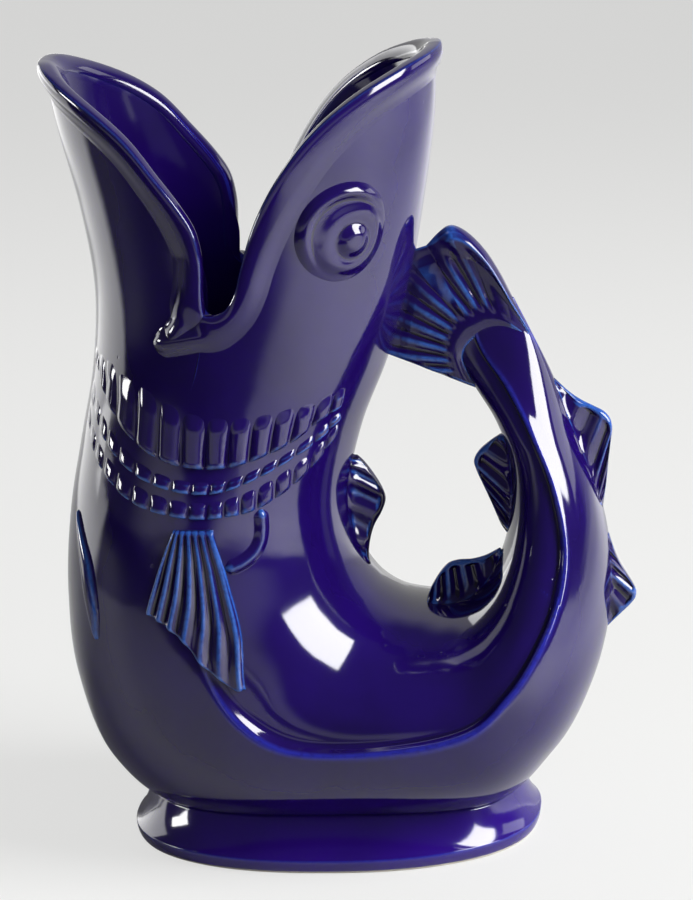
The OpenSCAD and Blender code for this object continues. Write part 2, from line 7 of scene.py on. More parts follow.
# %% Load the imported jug
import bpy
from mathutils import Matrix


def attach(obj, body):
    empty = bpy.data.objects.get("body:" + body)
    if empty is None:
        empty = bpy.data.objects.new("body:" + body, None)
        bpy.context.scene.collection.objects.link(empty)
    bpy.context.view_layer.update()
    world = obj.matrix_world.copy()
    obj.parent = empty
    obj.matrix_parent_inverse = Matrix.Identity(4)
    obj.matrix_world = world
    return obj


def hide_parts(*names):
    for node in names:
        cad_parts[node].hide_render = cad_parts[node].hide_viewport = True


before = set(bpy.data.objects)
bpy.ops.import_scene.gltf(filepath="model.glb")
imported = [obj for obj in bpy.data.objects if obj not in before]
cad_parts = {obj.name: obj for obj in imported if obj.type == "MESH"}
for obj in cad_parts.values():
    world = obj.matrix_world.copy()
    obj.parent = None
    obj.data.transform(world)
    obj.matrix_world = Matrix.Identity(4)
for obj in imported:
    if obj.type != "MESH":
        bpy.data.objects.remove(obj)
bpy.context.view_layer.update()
print("nodes to dress:", len(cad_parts))

# %% [markdown]
# Blender works in metres and a jug is measured in millimetres, so MM turns one into the other. Most shapes
# here are curves through tables of points. NumPy works on a whole table at once, where plain Python would
# need a loop for every point.

# %% Modules and units
from math import cos, sin, radians

import bpy
import bmesh
import numpy as np
from mathutils import Matrix, Vector

MM = 0.001
print("one millimetre in m:", MM)

# %% [markdown]
# The camera comes first, because every later choice is judged through it. A long lens from just over a metre
# away flattens the jug as a catalogue photograph does. The small roll and the shift follow the way the jug
# stands in the picture, whose size and middle are given in pixels. A tracking constraint could aim the
# camera, but writing its three axes keeps the roll exact.

# %% Camera
PICTURE = (693, 900)
PICTURE_MIDDLE = (337, 439)
FOCAL_PIXELS = 3892.75
SENSOR = 36.0
TARGET = Vector((-2.55, 0, 120)) * MM
DISTANCE = 1150 * MM
AZIMUTH, ELEVATION, ROLL = radians(6.5), radians(15.5), radians(2.6)


def look_from(azimuth, elevation):
    """Unit direction from the jug towards a viewer or a lamp."""
    return Vector((sin(azimuth) * cos(elevation), -cos(azimuth) * cos(elevation), sin(elevation)))


def make_camera():
    data = bpy.data.cameras.new("jug_camera")
    data.sensor_fit = "VERTICAL"
    data.sensor_height = SENSOR
    data.lens = FOCAL_PIXELS / PICTURE[1] * SENSOR
    data.shift_x = (PICTURE[0] / 2 - PICTURE_MIDDLE[0]) / PICTURE[1]
    data.shift_y = (PICTURE_MIDDLE[1] - PICTURE[1] / 2) / PICTURE[1]
    camera = bpy.data.objects.new("jug_camera", data)
    bpy.context.scene.collection.objects.link(camera)
    back = look_from(AZIMUTH, ELEVATION)
    level = Vector((cos(AZIMUTH), sin(AZIMUTH), 0))
    upright = back.cross(level)
    right = cos(ROLL) * level - sin(ROLL) * upright
    up = sin(ROLL) * level + cos(ROLL) * upright
    turn = Matrix((right, up, back)).transposed().to_4x4()
    camera.matrix_world = Matrix.Translation(TARGET + back * DISTANCE) @ turn
    return camera


scene = bpy.context.scene
scene.camera = make_camera()
scene.view_settings.view_transform = "Standard"
print("lens in mm:", round(scene.camera.data.lens, 1))

# %% [markdown]
# A glazed jug is mostly seen through what it mirrors, so its lamps are large panels, each set by how bright
# it looks; the power follows from the area. The window on the right gives the white patch on the belly, the
# wide low one on the left the patch on the foot, and two dim panels behind the jug its pale edges. These
# four are seen by mirror rays alone. Two more panels light the matt colour under the glaze and are not
# mirrored. A single lamp would do both, but then neither its size nor its brightness could be chosen freely.

# %% Lamps


def soft_box(name, azimuth, elevation, distance, size, brightness, mirrored):
    """A panel lamp that faces the jug, either mirrored in the glaze or lighting matt colour."""
    data = bpy.data.lights.new(name, "AREA")
    data.shape = "RECTANGLE"
    data.size, data.size_y = size
    data.energy = brightness * np.pi * size[0] * size[1]
    lamp = bpy.data.objects.new(name, data)
    lamp.visible_camera = False
    lamp.visible_glossy = mirrored
    lamp.visible_diffuse = not mirrored
    lamp.location = TARGET + look_from(radians(azimuth), radians(elevation)) * distance
    lamp.rotation_euler = (TARGET - lamp.location).to_track_quat("-Z", "Y").to_euler()
    scene.collection.objects.link(lamp)
    return lamp


# Columns: name, azimuth, elevation, distance, width and height, brightness, mirrored in the glaze
lamps = [
    soft_box("right_window_lamp", 71, 28, 1.5, (0.80, 0.96), 18.0, True),
    soft_box("left_window_lamp", -84, 13.5, 1.5, (0.46, 0.24), 20.0, True),
    soft_box("back_left_lamp", -125, 12, 1.5, (1.2, 0.80), 2.8, True),
    soft_box("back_right_lamp", 112, 15, 1.5, (0.8, 0.45), 2.2, True),
    soft_box("key_lamp", 75, 33, 1.5, (0.84, 0.98), 18.0, False),
    soft_box("fill_lamp", 20, 32, 1.7, (1.4, 0.80), 1.3, False),
]
print("lamps:", [lamp.name for lamp in lamps])

# %% [markdown]
# The world, the floor and the glaze all need the same few node steps: a sum, a soft ramp, a blend of two
# colours and the parts of a vector. Written once as helpers, they keep the node trees below as short as
# formulas.

# %% Node helpers


def wire(tree, value, socket):
    """Sets a socket to a number or a colour, or links another socket to it."""
    if isinstance(value, (float, tuple)):
        socket.default_value = value
    else:
        tree.links.new(value, socket)


def calc(tree, operation, a, b):
    node = tree.nodes.new("ShaderNodeMath")
    node.operation = operation
    wire(tree, a, node.inputs[0])
    wire(tree, b, node.inputs[1])
    return node.outputs["Value"]


def ramp(tree, value, low, high, to_low=0.0, to_high=1.0):
    node = tree.nodes.new("ShaderNodeMapRange")
    node.interpolation_type = "SMOOTHSTEP"
    wire(tree, value, node.inputs["Value"])
    for socket, number in zip(("From Min", "From Max", "To Min", "To Max"), (low, high, to_low, to_high)):
        node.inputs[socket].default_value = number
    return node.outputs["Result"]


def blend(tree, factor, a, b):
    node = tree.nodes.new("ShaderNodeMix")
    node.data_type = "RGBA"
    wire(tree, factor, node.inputs["Factor"])
    wire(tree, a, node.inputs["A"])
    wire(tree, b, node.inputs["B"])
    return node.outputs["Result"]


def split(tree, vector):
    node = tree.nodes.new("ShaderNodeSeparateXYZ")
    tree.links.new(vector, node.inputs["Vector"])
    return node.outputs


print("node helpers:", [helper.__name__ for helper in (wire, calc, ramp, blend, split)])

# %% [markdown]
# The world is what lies beyond the floor. Matt surfaces get a faint even light from it. Mirrored in the
# glaze it is a dark room with a low pale card in front, and a pale backdrop behind the jug. The darkness is
# what gives the glaze its depth, so the world answers mirror rays and matt rays differently.

# %% World
ROOM_LIGHT = (0.13, 0.13, 0.13, 1)
BACKDROP = (0.63, 0.63, 0.62, 1)
DARK_ROOM = (0.075, 0.075, 0.08, 1)
LOW_CARD = (0.62, 0.62, 0.60, 1)
# Where a soft edge begins and ends, in parts of the direction of view
BACKDROP_BEHIND, BACKDROP_TOP = (0.35, 0.75), (0.80, 0.62)
CARD_FRONT, CARD_TOP = (-0.30, -0.75), (0.20, 0.06)


def make_world():
    world = bpy.data.worlds.new("studio")
    world.use_nodes = True
    tree = world.node_tree
    view = tree.nodes.new("ShaderNodeLightPath").outputs
    axes = split(tree, tree.nodes.new("ShaderNodeTexCoord").outputs["Generated"])
    behind = calc(tree, "MULTIPLY", ramp(tree, axes["Y"], *BACKDROP_BEHIND),
                  ramp(tree, axes["Z"], *BACKDROP_TOP))
    card = calc(tree, "MULTIPLY", ramp(tree, axes["Y"], *CARD_FRONT), ramp(tree, axes["Z"], *CARD_TOP))
    mirrored = blend(tree, behind, blend(tree, card, DARK_ROOM, LOW_CARD), BACKDROP)
    straight = calc(tree, "MAXIMUM", view["Is Camera Ray"], view["Is Transmission Ray"])
    seen = blend(tree, view["Is Glossy Ray"], ROOM_LIGHT, mirrored)
    tree.links.new(blend(tree, straight, seen, BACKDROP), tree.nodes["Background"].inputs["Color"])
    return world


scene.world = make_world()
print("world:", scene.world.name)

# %% [markdown]
# The floor is one wide pale sheet that keeps the shadow of the jug. Seen straight it glows, as bright studio
# paper does, and away from the jug only the glow is left, so no lamp can burn it out. Mirrored in the glaze
# it is darker in front of the jug and to its left, where the room begins. To its right, behind it and behind
# on its left it carries painted light: a glow that only mirror rays see, standing in for paper lit by
# windows. A curved backdrop would hide the jug from behind, so there is none.

# %% Floor finish
FLOOR_PAPER = (0.56, 0.56, 0.555, 1)
SEEN_PAPER = (0.15, 0.15, 0.148, 1)
DARK_FLOOR = (0.03, 0.03, 0.03, 1)
GLOW_COLOUR = (1.0, 1.0, 0.99, 1)
GLOW_NEAR, GLOW_FAR, GLOW_REACH = 0.66, 0.605, 1.6
# Painted light: strengths of a glow on the paper that only mirror rays see, standing in for window light
RIGHT_PAINTED_SHINE, LEFT_PAINTED_SHINE, BACK_PAINTED_SHINE = 0.7, 1.9, 0.5
# Where a soft edge begins and ends, in metres
PAPER_FADE, PAINTED_SHINE_END = (0.5, 1.3), (0.35, 0.65)
SHEET_FRONT, SHEET_LEFT = (-0.56, -0.48), (-0.55, -0.48)
SHEET_BACK, SHEET_RIGHT = (0.04, 0.14), (0.18, 0.30)
PAINTED_SHINE_RIGHT, PAINTED_SHINE_LEFT, PAINTED_SHINE_BACK = (0.10, 0.26), (-0.40, -0.52), (0.25, 0.70)
FLOOR_ROUGHNESS = 0.7


def floor_material():
    material = bpy.data.materials.new("pale_floor")
    material.use_nodes = True
    tree = material.node_tree
    where = tree.nodes.new("ShaderNodeTexCoord").outputs["Object"]
    axes = split(tree, where)
    view = tree.nodes.new("ShaderNodeLightPath").outputs

    def over(axis, edge, full=1.0):
        return ramp(tree, axes[axis], *edge, 0.0, full)

    near = calc(tree, "MAXIMUM", over("X", SHEET_LEFT), over("Y", SHEET_BACK))
    front = calc(tree, "MULTIPLY", over("Y", SHEET_FRONT), near)
    sheet = calc(tree, "MAXIMUM", front, over("X", SHEET_RIGHT))
    mirrored = blend(tree, sheet, DARK_FLOOR, FLOOR_PAPER)
    distance = tree.nodes.new("ShaderNodeVectorMath")
    distance.operation = "LENGTH"
    tree.links.new(where, distance.inputs[0])
    reach = distance.outputs["Value"]
    seen = blend(tree, ramp(tree, reach, *PAPER_FADE), SEEN_PAPER, DARK_FLOOR)
    paper = blend(tree, view["Is Glossy Ray"], FLOOR_PAPER, mirrored)
    paper = blend(tree, view["Is Camera Ray"], paper, seen)
    straight = calc(tree, "MAXIMUM", view["Is Camera Ray"], view["Is Transmission Ray"])
    glow = calc(tree, "MULTIPLY", ramp(tree, reach, 0.0, GLOW_REACH, GLOW_NEAR, GLOW_FAR), straight)
    # Painted light: patches of glow on the paper, seen only in the glaze, where windows would light it
    right = calc(tree, "SUBTRACT", over("X", PAINTED_SHINE_RIGHT, RIGHT_PAINTED_SHINE), over("X", PAINTED_SHINE_END, RIGHT_PAINTED_SHINE))
    left = calc(tree, "MULTIPLY", over("X", PAINTED_SHINE_LEFT, LEFT_PAINTED_SHINE), over("Y", SHEET_BACK))
    painted_shine = calc(tree, "ADD", right, calc(tree, "MAXIMUM", left, over("Y", PAINTED_SHINE_BACK, BACK_PAINTED_SHINE)))
    painted_shine = calc(tree, "MULTIPLY", painted_shine, view["Is Glossy Ray"])
    shader = tree.nodes["Principled BSDF"]
    shader.inputs["Roughness"].default_value = FLOOR_ROUGHNESS
    shader.inputs["Emission Color"].default_value = GLOW_COLOUR
    tree.links.new(paper, shader.inputs["Base Color"])
    tree.links.new(calc(tree, "ADD", glow, painted_shine), shader.inputs["Emission Strength"])
    return material


floor_finish = floor_material()
print("floor finish:", floor_finish.name)

# %% [markdown]
# The sheet itself is a plain disc, far wider than the jug. A square would do as well, but the edge of a disc
# is equally far on every side.

# %% Floor
FLOOR_RADIUS, FLOOR_SIDES = 8.0, 64


def make_floor():
    mesh = bpy.data.meshes.new("floor")
    bm = bmesh.new()
    bmesh.ops.create_circle(bm, cap_ends=True, segments=FLOOR_SIDES, radius=FLOOR_RADIUS)
    bm.to_mesh(mesh)
    bm.free()
    mesh.materials.append(floor_finish)
    floor = bpy.data.objects.new("floor", mesh)
    scene.collection.objects.link(floor)
    return floor


floor = make_floor()
print("floor across in m:", round(floor.dimensions.x, 1))

# %% [markdown]
# The fish is a row of ovals. Each row of this table is one oval: where it starts on the belly line, where it
# ends on the back line, how far it reaches to the sides, and where the raised line along the flank lies. A
# second table gives the edge of the mouth. They are the tables of the solids, with a rounder
# corner of the mouth and a softer start of the flank's line.

# %% Sizes and stations of the fish
JUG_H, BODY_LEN, BELLY_W = 238 * MM, 162 * MM, 106 * MM
WALL, SEAT = 4.5 * MM, 0.2 * MM
RIDGE_H, GROOVE_D = 1.15 * MM, 2.6 * MM
# Degrees round an oval
RIDGE_RISE, RIDGE_FALL, STEP_SPAN, GROOVE_FADE = 10, 3, 5, 26
MIDDLE_SHARE = 0.046
# Stations along the fish, counted in rows of the table
TAIL_JOINT, TAIL_END, HOLLOW_END, JAW_BASE, COLUMNS_MEET = 15, 21, 18.6, 3.4, 6.8
# Columns: x and z of the belly, x and z of the back and half the width, all as shares of the sizes above,
# then the degrees round the oval where the ridge lies, and its strength
STATIONS = [
    (-0.469, 1.012, 0.238, 1.026, 0.406, 90, 0), (-0.448, 0.916, 0.232, 0.916, 0.401, 90, 0),
    (-0.414, 0.811, 0.207, 0.807, 0.396, 90, 0), (-0.396, 0.710, 0.174, 0.702, 0.392, 90, 0),
    (-0.407, 0.613, 0.130, 0.609, 0.396, 90, 0), (-0.436, 0.521, 0.078, 0.525, 0.410, 90, 0),
    (-0.464, 0.429, 0.049, 0.442, 0.434, 90, 0), (-0.478, 0.328, 0.062, 0.370, 0.462, 88, 0),
    (-0.469, 0.219, 0.099, 0.324, 0.486, 89, 0.3), (-0.412, 0.109, 0.145, 0.301, 0.500, 91, 0.8),
    (-0.278, 0.042, 0.191, 0.294, 0.505, 92, 1), (0.012, 0.029, 0.228, 0.294, 0.500, 94, 1),
    (0.290, 0.042, 0.262, 0.301, 0.481, 98, 1), (0.417, 0.111, 0.293, 0.320, 0.443, 98, 1),
    (0.484, 0.190, 0.318, 0.349, 0.387, 94, 1), (0.519, 0.277, 0.336, 0.386, 0.311, 87, 1),
    (0.522, 0.361, 0.346, 0.433, 0.245, 82, 0.9), (0.500, 0.442, 0.343, 0.483, 0.198, 85, 0.8),
    (0.463, 0.517, 0.321, 0.529, 0.160, 90, 0.7), (0.426, 0.584, 0.287, 0.568, 0.127, 95, 0.6),
    (0.392, 0.636, 0.256, 0.605, 0.094, 105, 0.4), (0.361, 0.681, 0.247, 0.643, 0.061, 112, 0.2),
]
# Columns: degrees round the oval, station
MOUTH_EDGE = [
    (0, 0.22), (14, 0.24), (30, 0.41), (45, 0.66), (57, 0.98), (66, 1.40), (73, 1.75), (77, 2.02),
    (78.6, 2.35), (78.6, 2.74), (80, 2.92), (83.2, 2.97), (87, 2.90), (89.8, 2.70), (92, 2.38),
    (95.4, 2.00), (100, 1.66), (106.5, 1.30), (114, 0.98), (123, 0.72), (135, 0.50), (151, 0.34),
    (166, 0.27), (180, 0.24),
]
print("ovals:", len(STATIONS))

# %% [markdown]
# A smooth curve through the rows, here a cubic spline, gives every oval in between, as bent battens do when
# a hull is lofted. Straight steps from row to row would show as flat bands in the glaze. The other helpers
# blend, ease and round, and are used all over the lesson.

# %% Curves through a table


def mix(a, b, t):
    return a + (b - a) * t


def smooth(t):
    t = np.clip(t, 0, 1)
    return t * t * (3 - 2 * t)


def ease(value, low, high):
    """0 below low and 1 above high, smooth between them."""
    return smooth((value - low) / (high - low))


def quarter_round(t):
    """Rises from 0 to 1 as a quarter of a circle does."""
    return np.sqrt(1 - (1 - np.clip(t, 0, 1)) ** 2)


def unit(v):
    return v / np.linalg.norm(v, axis=-1, keepdims=True)


def through(table, t):
    """A smooth curve through the rows of a table; t counts rows from 0."""
    table = np.asarray(table, float)
    t = np.asarray(t, float)
    i = np.clip(np.floor(t), 0, len(table) - 2).astype(int)
    f = (t - i)[..., None]
    rows = np.vstack([2 * table[0] - table[1], table, 2 * table[-1] - table[-2]])
    p0, p1, p2, p3 = rows[i], rows[i + 1], rows[i + 2], rows[i + 3]
    return (2 * p1 + (p2 - p0) * f + (2 * p0 - 5 * p1 + 4 * p2 - p3) * f**2
            + (3 * p1 - p0 - 3 * p2 + p3) * f**3) / 2


def along(table, share):
    """The same curve, with share running from 0 at its first row to 1 at its last."""
    return through(table, np.clip(share, 0, 1) * (len(table) - 1))


print("half width at station 8.5, as a share:", through(STATIONS, 8.5)[4].round(3))

# %% [markdown]
# The skin is a formula: a station, some degrees round the oval and a lift give one point in space. Sculpting
# could shape such a fish too, but the formula keeps every row exact, and the reliefs can ask it where the
# skin is. The ridge and the groove of the flank are a part of it, because fins and teeth lie on them.

# %% The skin of the fish


def place(x_share, z_share):
    return np.stack([(x_share - MIDDLE_SHARE) * BODY_LEN, z_share * JUG_H], -1)


def flank_relief(d, strength):
    """Ridge and groove of the flank, d degrees behind the ridge's line."""
    ridge = RIDGE_H * np.exp(-(d / np.where(d < 0, RIDGE_RISE, RIDGE_FALL)) ** 2)
    groove = GROOVE_D * smooth(d / STEP_SPAN) * np.exp(-np.maximum(d, 0) / GROOVE_FADE)
    return strength * (ridge - groove)


def skin(station, deg, lift=0.0):
    """Points on the fish, lifted off it; deg runs round the oval from the belly line towards -Y."""
    station, deg, lift = np.broadcast_arrays(station, deg, lift)
    row = through(STATIONS, station)
    belly, back = place(row[..., 0], row[..., 1]), place(row[..., 2], row[..., 3])
    half = np.linalg.norm(belly - back, axis=-1) / 2
    side = row[..., 4] * BELLY_W
    axis = unit(belly - back)
    angle = np.radians(deg)
    lift = lift + flank_relief(np.abs(deg) - row[..., 5], np.maximum(row[..., 6], 0))
    out = unit(np.stack([np.cos(angle) / half, np.sin(angle) / side], -1))
    p = (belly + back) / 2 + axis * (half * np.cos(angle) + lift * out[..., 0])[..., None]
    return np.stack([p[..., 0], -side * np.sin(angle) - lift * out[..., 1], p[..., 1]], -1)


print("belly line at station 9:", skin(9, 0).round(4))

# %% [markdown]
# Reliefs such as lips, fins and gills lie on the skin, so the lesson needs to walk on it. The two slopes of
# the skin, along the stations and round the oval, turn a short step in space into a step in station and
# degrees. Blender could push flat pieces on the fish with a Shrinkwrap modifier, but these few lines give
# clean rows of faces that follow each form.

# %% Walk on the skin
D_STATION, D_DEG = 0.02, 0.5


def slopes(station, deg):
    a = (skin(station + D_STATION, deg) - skin(station - D_STATION, deg)) / (2 * D_STATION)
    b = (skin(station, deg + D_DEG) - skin(station, deg - D_DEG)) / (2 * D_DEG)
    return a, b


def outward(station, deg):
    return unit(np.cross(*slopes(station, deg)))


def walk(station, deg, step):
    """Station and degrees after a short step in space along the skin."""
    a, b = slopes(station, deg)
    aa, ab, bb = (a * a).sum(-1), (a * b).sum(-1), (b * b).sum(-1)
    sa, sb = (step * a).sum(-1), (step * b).sum(-1)
    area = aa * bb - ab * ab
    return station + (sa * bb - sb * ab) / area, deg + (sb * aa - sa * ab) / area


def across(station, deg):
    """Directions on the skin square to a line of spots, to the left of its run."""
    points = skin(station, deg)
    run = unit(np.gradient(points, axis=0))
    return unit(np.cross(outward(station, deg), run))


print("outward at the left flank:", outward(9, 90).round(2))

# %% [markdown]
# Every piece starts as a flat grid of faces whose points are then laid on the form, row by row. Seams and
# points where many rows meet are merged, holes are filled, and the faces are turned outwards. It is one
# helper, because casting makes all these parts in one way too.

# %% Grid helper
MERGE = 1e-6


def laid_grid(points, fill=False):
    """A bmesh grid whose vertices are laid on points[row, column]."""
    rows, columns = points.shape[:2]
    bm = bmesh.new()
    bmesh.ops.create_grid(bm, x_segments=columns - 1, y_segments=rows - 1, size=1)
    flat = np.array([v.co[:2] for v in bm.verts])
    low, span = flat.min(0), np.ptp(flat, axis=0)
    spots = np.rint((flat - low) / span * [columns - 1, rows - 1]).astype(int)
    for vertex, (j, i) in zip(bm.verts, spots):
        vertex.co = points[i, j]
    bmesh.ops.remove_doubles(bm, verts=bm.verts, dist=MERGE)
    if fill:
        open_edges = [e for e in bm.edges if e.is_boundary]
        bmesh.ops.holes_fill(bm, edges=open_edges, sides=0)
    bmesh.ops.recalc_face_normals(bm, faces=bm.faces)
    return bm


def round_ends(points, length, axis=0):
    """1 along rows or columns of points, falling in a round to 0 within a length of both ends."""
    gap = np.linalg.norm(np.diff(points, axis=axis), axis=-1).cumsum(axis)
    run = np.concatenate([np.zeros_like(np.take(gap, [0], axis)), gap], axis)
    return quarter_round(np.minimum(run, np.take(run, [-1], axis) - run) / length)


print("points closer than this, in m, are merged:", MERGE)

# %% [markdown]
# Glaze runs thin on sharp edges, where cobalt turns a lighter blue, and pools in hollows, where it looks
# almost black. The hollows are darkened for both the pooled glaze and painted shade, which stands in for the
# shade that falls there. How much a surface bends tells both, so it is measured at each vertex and kept with
# the mesh as two masks: thin, and one for pooled glaze and painted shade. How sharp an edge must be before
# it
# turns light differs: the smooth skin has only its flank ridge to show, ribs break on every crest. Blender's
# pointiness would give such masks in the render, but it is lost when a model is baked and passed on.

# %% Thin glaze, pooled glaze and painted shade
# The bends at which the light blue begins and is full, in 1/m, and the same for the dark pools and their
# painted shade
SKIN_BREAK, TAIL_BREAK, FAN_BREAK, RIB_BREAK = (85, 270), (130, 400), (150, 640), (160, 620)
EDGE_BREAK, LIP_BREAK, NO_BREAK = (430, 1150), (520, 2000), (2000, 6000)
POOL_AND_SHADE_BREAK = (120, 700)
MASK_PASSES = 2


def mark_glaze(mesh, breaks):
    """Keeps the masks with the mesh; bend is the sum of a vertex's two curvatures, in 1/m."""
    count = len(mesh.vertices)
    co, normal = np.empty(count * 3), np.empty(count * 3)
    mesh.vertices.foreach_get("co", co)
    mesh.vertices.foreach_get("normal", normal)
    co, normal = co.reshape(-1, 3), normal.reshape(-1, 3)
    ends = np.empty(len(mesh.edges) * 2, int)
    mesh.edges.foreach_get("vertices", ends)
    a, b = ends.reshape(-1, 2).T
    step = co[a] - co[b]
    length = (step * step).sum(1) + MERGE**2
    near = np.bincount(a, minlength=count) + np.bincount(b, minlength=count)
    # An edge bends by twice its fall over its length squared, and the sum of both curvatures is twice
    # the mean of all edges
    bend = (np.bincount(a, (step * normal[a]).sum(1) / length, count)
            - np.bincount(b, (step * normal[b]).sum(1) / length, count)) * 4 / near
    for _ in range(MASK_PASSES):
        total = np.bincount(a, bend[b], count) + np.bincount(b, bend[a], count)
        bend = (bend + total / near) / 2
    masks = {
        "thin": ease(bend, *breaks),
        # Pooled glaze, and painted shade where hollows would be in shade
        "pool_and_shade": ease(-bend, *POOL_AND_SHADE_BREAK),
    }
    for name, values in masks.items():
        mesh.attributes.new(name, "FLOAT", "POINT").data.foreach_set("value", values)


print("fin edges break light from a radius in mm of:", round(1 / RIB_BREAK[0] / MM, 1))

# %% [markdown]
# The glaze is one shader group that every finish shares. It mottles the cobalt slightly, lightens it where
# the thin mask is high, darkens it where the mask of the hollows is high, which stands both for glaze pooled
# there and for painted shade, and adds the faint ripple and the few pinholes of a fired surface. The same
# nodes could stand in every material, but then each change would have to be made five times. Only colours
# and values leave the group; the shader itself stays in each material.

# %% Glaze group
# Scale and detail of each noise
MOTTLE_NOISE, BREAK_NOISE, RIPPLE_NOISE = (38, 3.0), (700, 2.0), (160, 1.0)
PIT_SCALE = 210
# Each range: the low and high of a pattern, then what it gives at them
MOTTLE_RANGE, MOTTLE_DARK, MOTTLE_DULL = (0.35, 0.70), 0.35, 0.04
BREAK_RANGE = (0.25, 0.6, 0.6, 1.0)
PIT_CHANCE, PIT_RANGE = 0.04, (0.05, 0.13, 1.0, 0.0)
RIPPLE_DEPTH = 0.22


def make_glaze_group():
    tree = bpy.data.node_groups.new("cobalt_glaze", "ShaderNodeTree")
    for name, kind in [("Full", "Color"), ("Deep_And_Shade", "Color"), ("Broken", "Color"),
                       ("Thin", "Float"), ("Pool_And_Shade", "Float"), ("Gloss", "Float")]:
        tree.interface.new_socket(name=name, in_out="INPUT", socket_type="NodeSocket" + kind)
    for name, kind in [("Color", "Color"), ("Roughness", "Float"), ("Height", "Float")]:
        tree.interface.new_socket(name=name, in_out="OUTPUT", socket_type="NodeSocket" + kind)
    given = tree.nodes.new("NodeGroupInput").outputs
    result = tree.nodes.new("NodeGroupOutput").inputs
    where = tree.nodes.new("ShaderNodeTexCoord").outputs["Object"]

    def noise(scale, detail):
        node = tree.nodes.new("ShaderNodeTexNoise")
        node.inputs["Scale"].default_value = scale
        node.inputs["Detail"].default_value = detail
        tree.links.new(where, node.inputs["Vector"])
        return node.outputs["Fac"]

    mottle = ramp(tree, noise(*MOTTLE_NOISE), *MOTTLE_RANGE)
    broken = calc(tree, "MULTIPLY", given["Thin"], ramp(tree, noise(*BREAK_NOISE), *BREAK_RANGE))
    # Painted shade: the mask of the hollows blends towards the deep blue, for pooled glaze and for shade
    dark = calc(tree, "MAXIMUM", calc(tree, "MULTIPLY", mottle, MOTTLE_DARK), given["Pool_And_Shade"])
    color = blend(tree, broken, blend(tree, dark, given["Full"], given["Deep_And_Shade"]), given["Broken"])
    cells = tree.nodes.new("ShaderNodeTexVoronoi")
    cells.inputs["Scale"].default_value = PIT_SCALE
    tree.links.new(where, cells.inputs["Vector"])
    chosen = tree.nodes.new("ShaderNodeSeparateColor")
    tree.links.new(cells.outputs["Color"], chosen.inputs["Color"])
    rare = calc(tree, "GREATER_THAN", chosen.outputs["Red"], 1 - PIT_CHANCE)
    pit = calc(tree, "MULTIPLY", ramp(tree, cells.outputs["Distance"], *PIT_RANGE), rare)
    ripple = calc(tree, "MULTIPLY", noise(*RIPPLE_NOISE), RIPPLE_DEPTH)
    dull = calc(tree, "MULTIPLY", mottle, MOTTLE_DULL)
    tree.links.new(color, result["Color"])
    tree.links.new(calc(tree, "ADD", given["Gloss"], dull), result["Roughness"])
    tree.links.new(calc(tree, "SUBTRACT", ripple, pit), result["Height"])
    return tree


glaze_group = make_glaze_group()
print("glaze inputs:", [i.name for i in glaze_group.interface.items_tree])

# %% [markdown]
# Each finish is that group with its own blues. The body has the full glaze; ribs, gills and fins carry it
# thinner, so their broken blue is stronger. The foot's blue is painted about twice as bright, standing in
# for light that the belly's overhang keeps from it. The foot is wiped clean where it stands, as every glazed
# pot
# is, or it would stick to the kiln shelf: a mask on the height shows the bare clay there.

# %% Glaze materials
FULL_BLUE = (0.0085, 0.0018, 0.074, 1)
DEEP_AND_SHADED_BLUE = (0.0028, 0.0009, 0.016, 1)
# Painted light: the foot's blue is about twice the body's, for light that the belly's overhang keeps from it
FOOT_BLUE_PAINTED_LIGHTER = (0.018, 0.0030, 0.150, 1)
BROKEN_BLUE = (0.020, 0.078, 0.33, 1)
RIDGE_BLUE = (0.014, 0.016, 0.23, 1)
GLAZE_IOR, GLOSS, RIPPLE = 1.58, 0.07, 0.12
BARE_CLAY, CLAY_ROUGHNESS = (0.62, 0.57, 0.50, 1), 0.85
WIPED_TO = 0.6 * MM


def glaze_material(name, full, deep_and_shade, broken, wiped=False):
    material = bpy.data.materials.new(name)
    material.use_nodes = True
    tree = material.node_tree
    nodes, links = tree.nodes, tree.links
    shader = nodes["Principled BSDF"]
    shader.inputs["IOR"].default_value = GLAZE_IOR
    glaze = nodes.new("ShaderNodeGroup")
    glaze.node_tree = glaze_group
    for socket, value in (("Full", full), ("Deep_And_Shade", deep_and_shade), ("Broken", broken), ("Gloss", GLOSS)):
        glaze.inputs[socket].default_value = value
    for mask in ("Thin", "Pool_And_Shade"):
        attribute = nodes.new("ShaderNodeAttribute")
        attribute.attribute_name = mask.lower()
        links.new(attribute.outputs["Fac"], glaze.inputs[mask])
    bump = nodes.new("ShaderNodeBump")
    bump.inputs["Strength"].default_value = RIPPLE
    bump.inputs["Distance"].default_value = MM
    links.new(glaze.outputs["Height"], bump.inputs["Height"])
    links.new(bump.outputs["Normal"], shader.inputs["Normal"])
    color, roughness = glaze.outputs["Color"], glaze.outputs["Roughness"]
    if wiped:
        height = split(tree, nodes.new("ShaderNodeTexCoord").outputs["Object"])["Z"]
        bare = ramp(tree, height, WIPED_TO, 2 * WIPED_TO, 1.0, 0.0)
        color = blend(tree, bare, color, BARE_CLAY)
        roughness = calc(tree, "MAXIMUM", roughness, calc(tree, "MULTIPLY", bare, CLAY_ROUGHNESS))
    links.new(color, shader.inputs["Base Color"])
    links.new(roughness, shader.inputs["Roughness"])
    return material


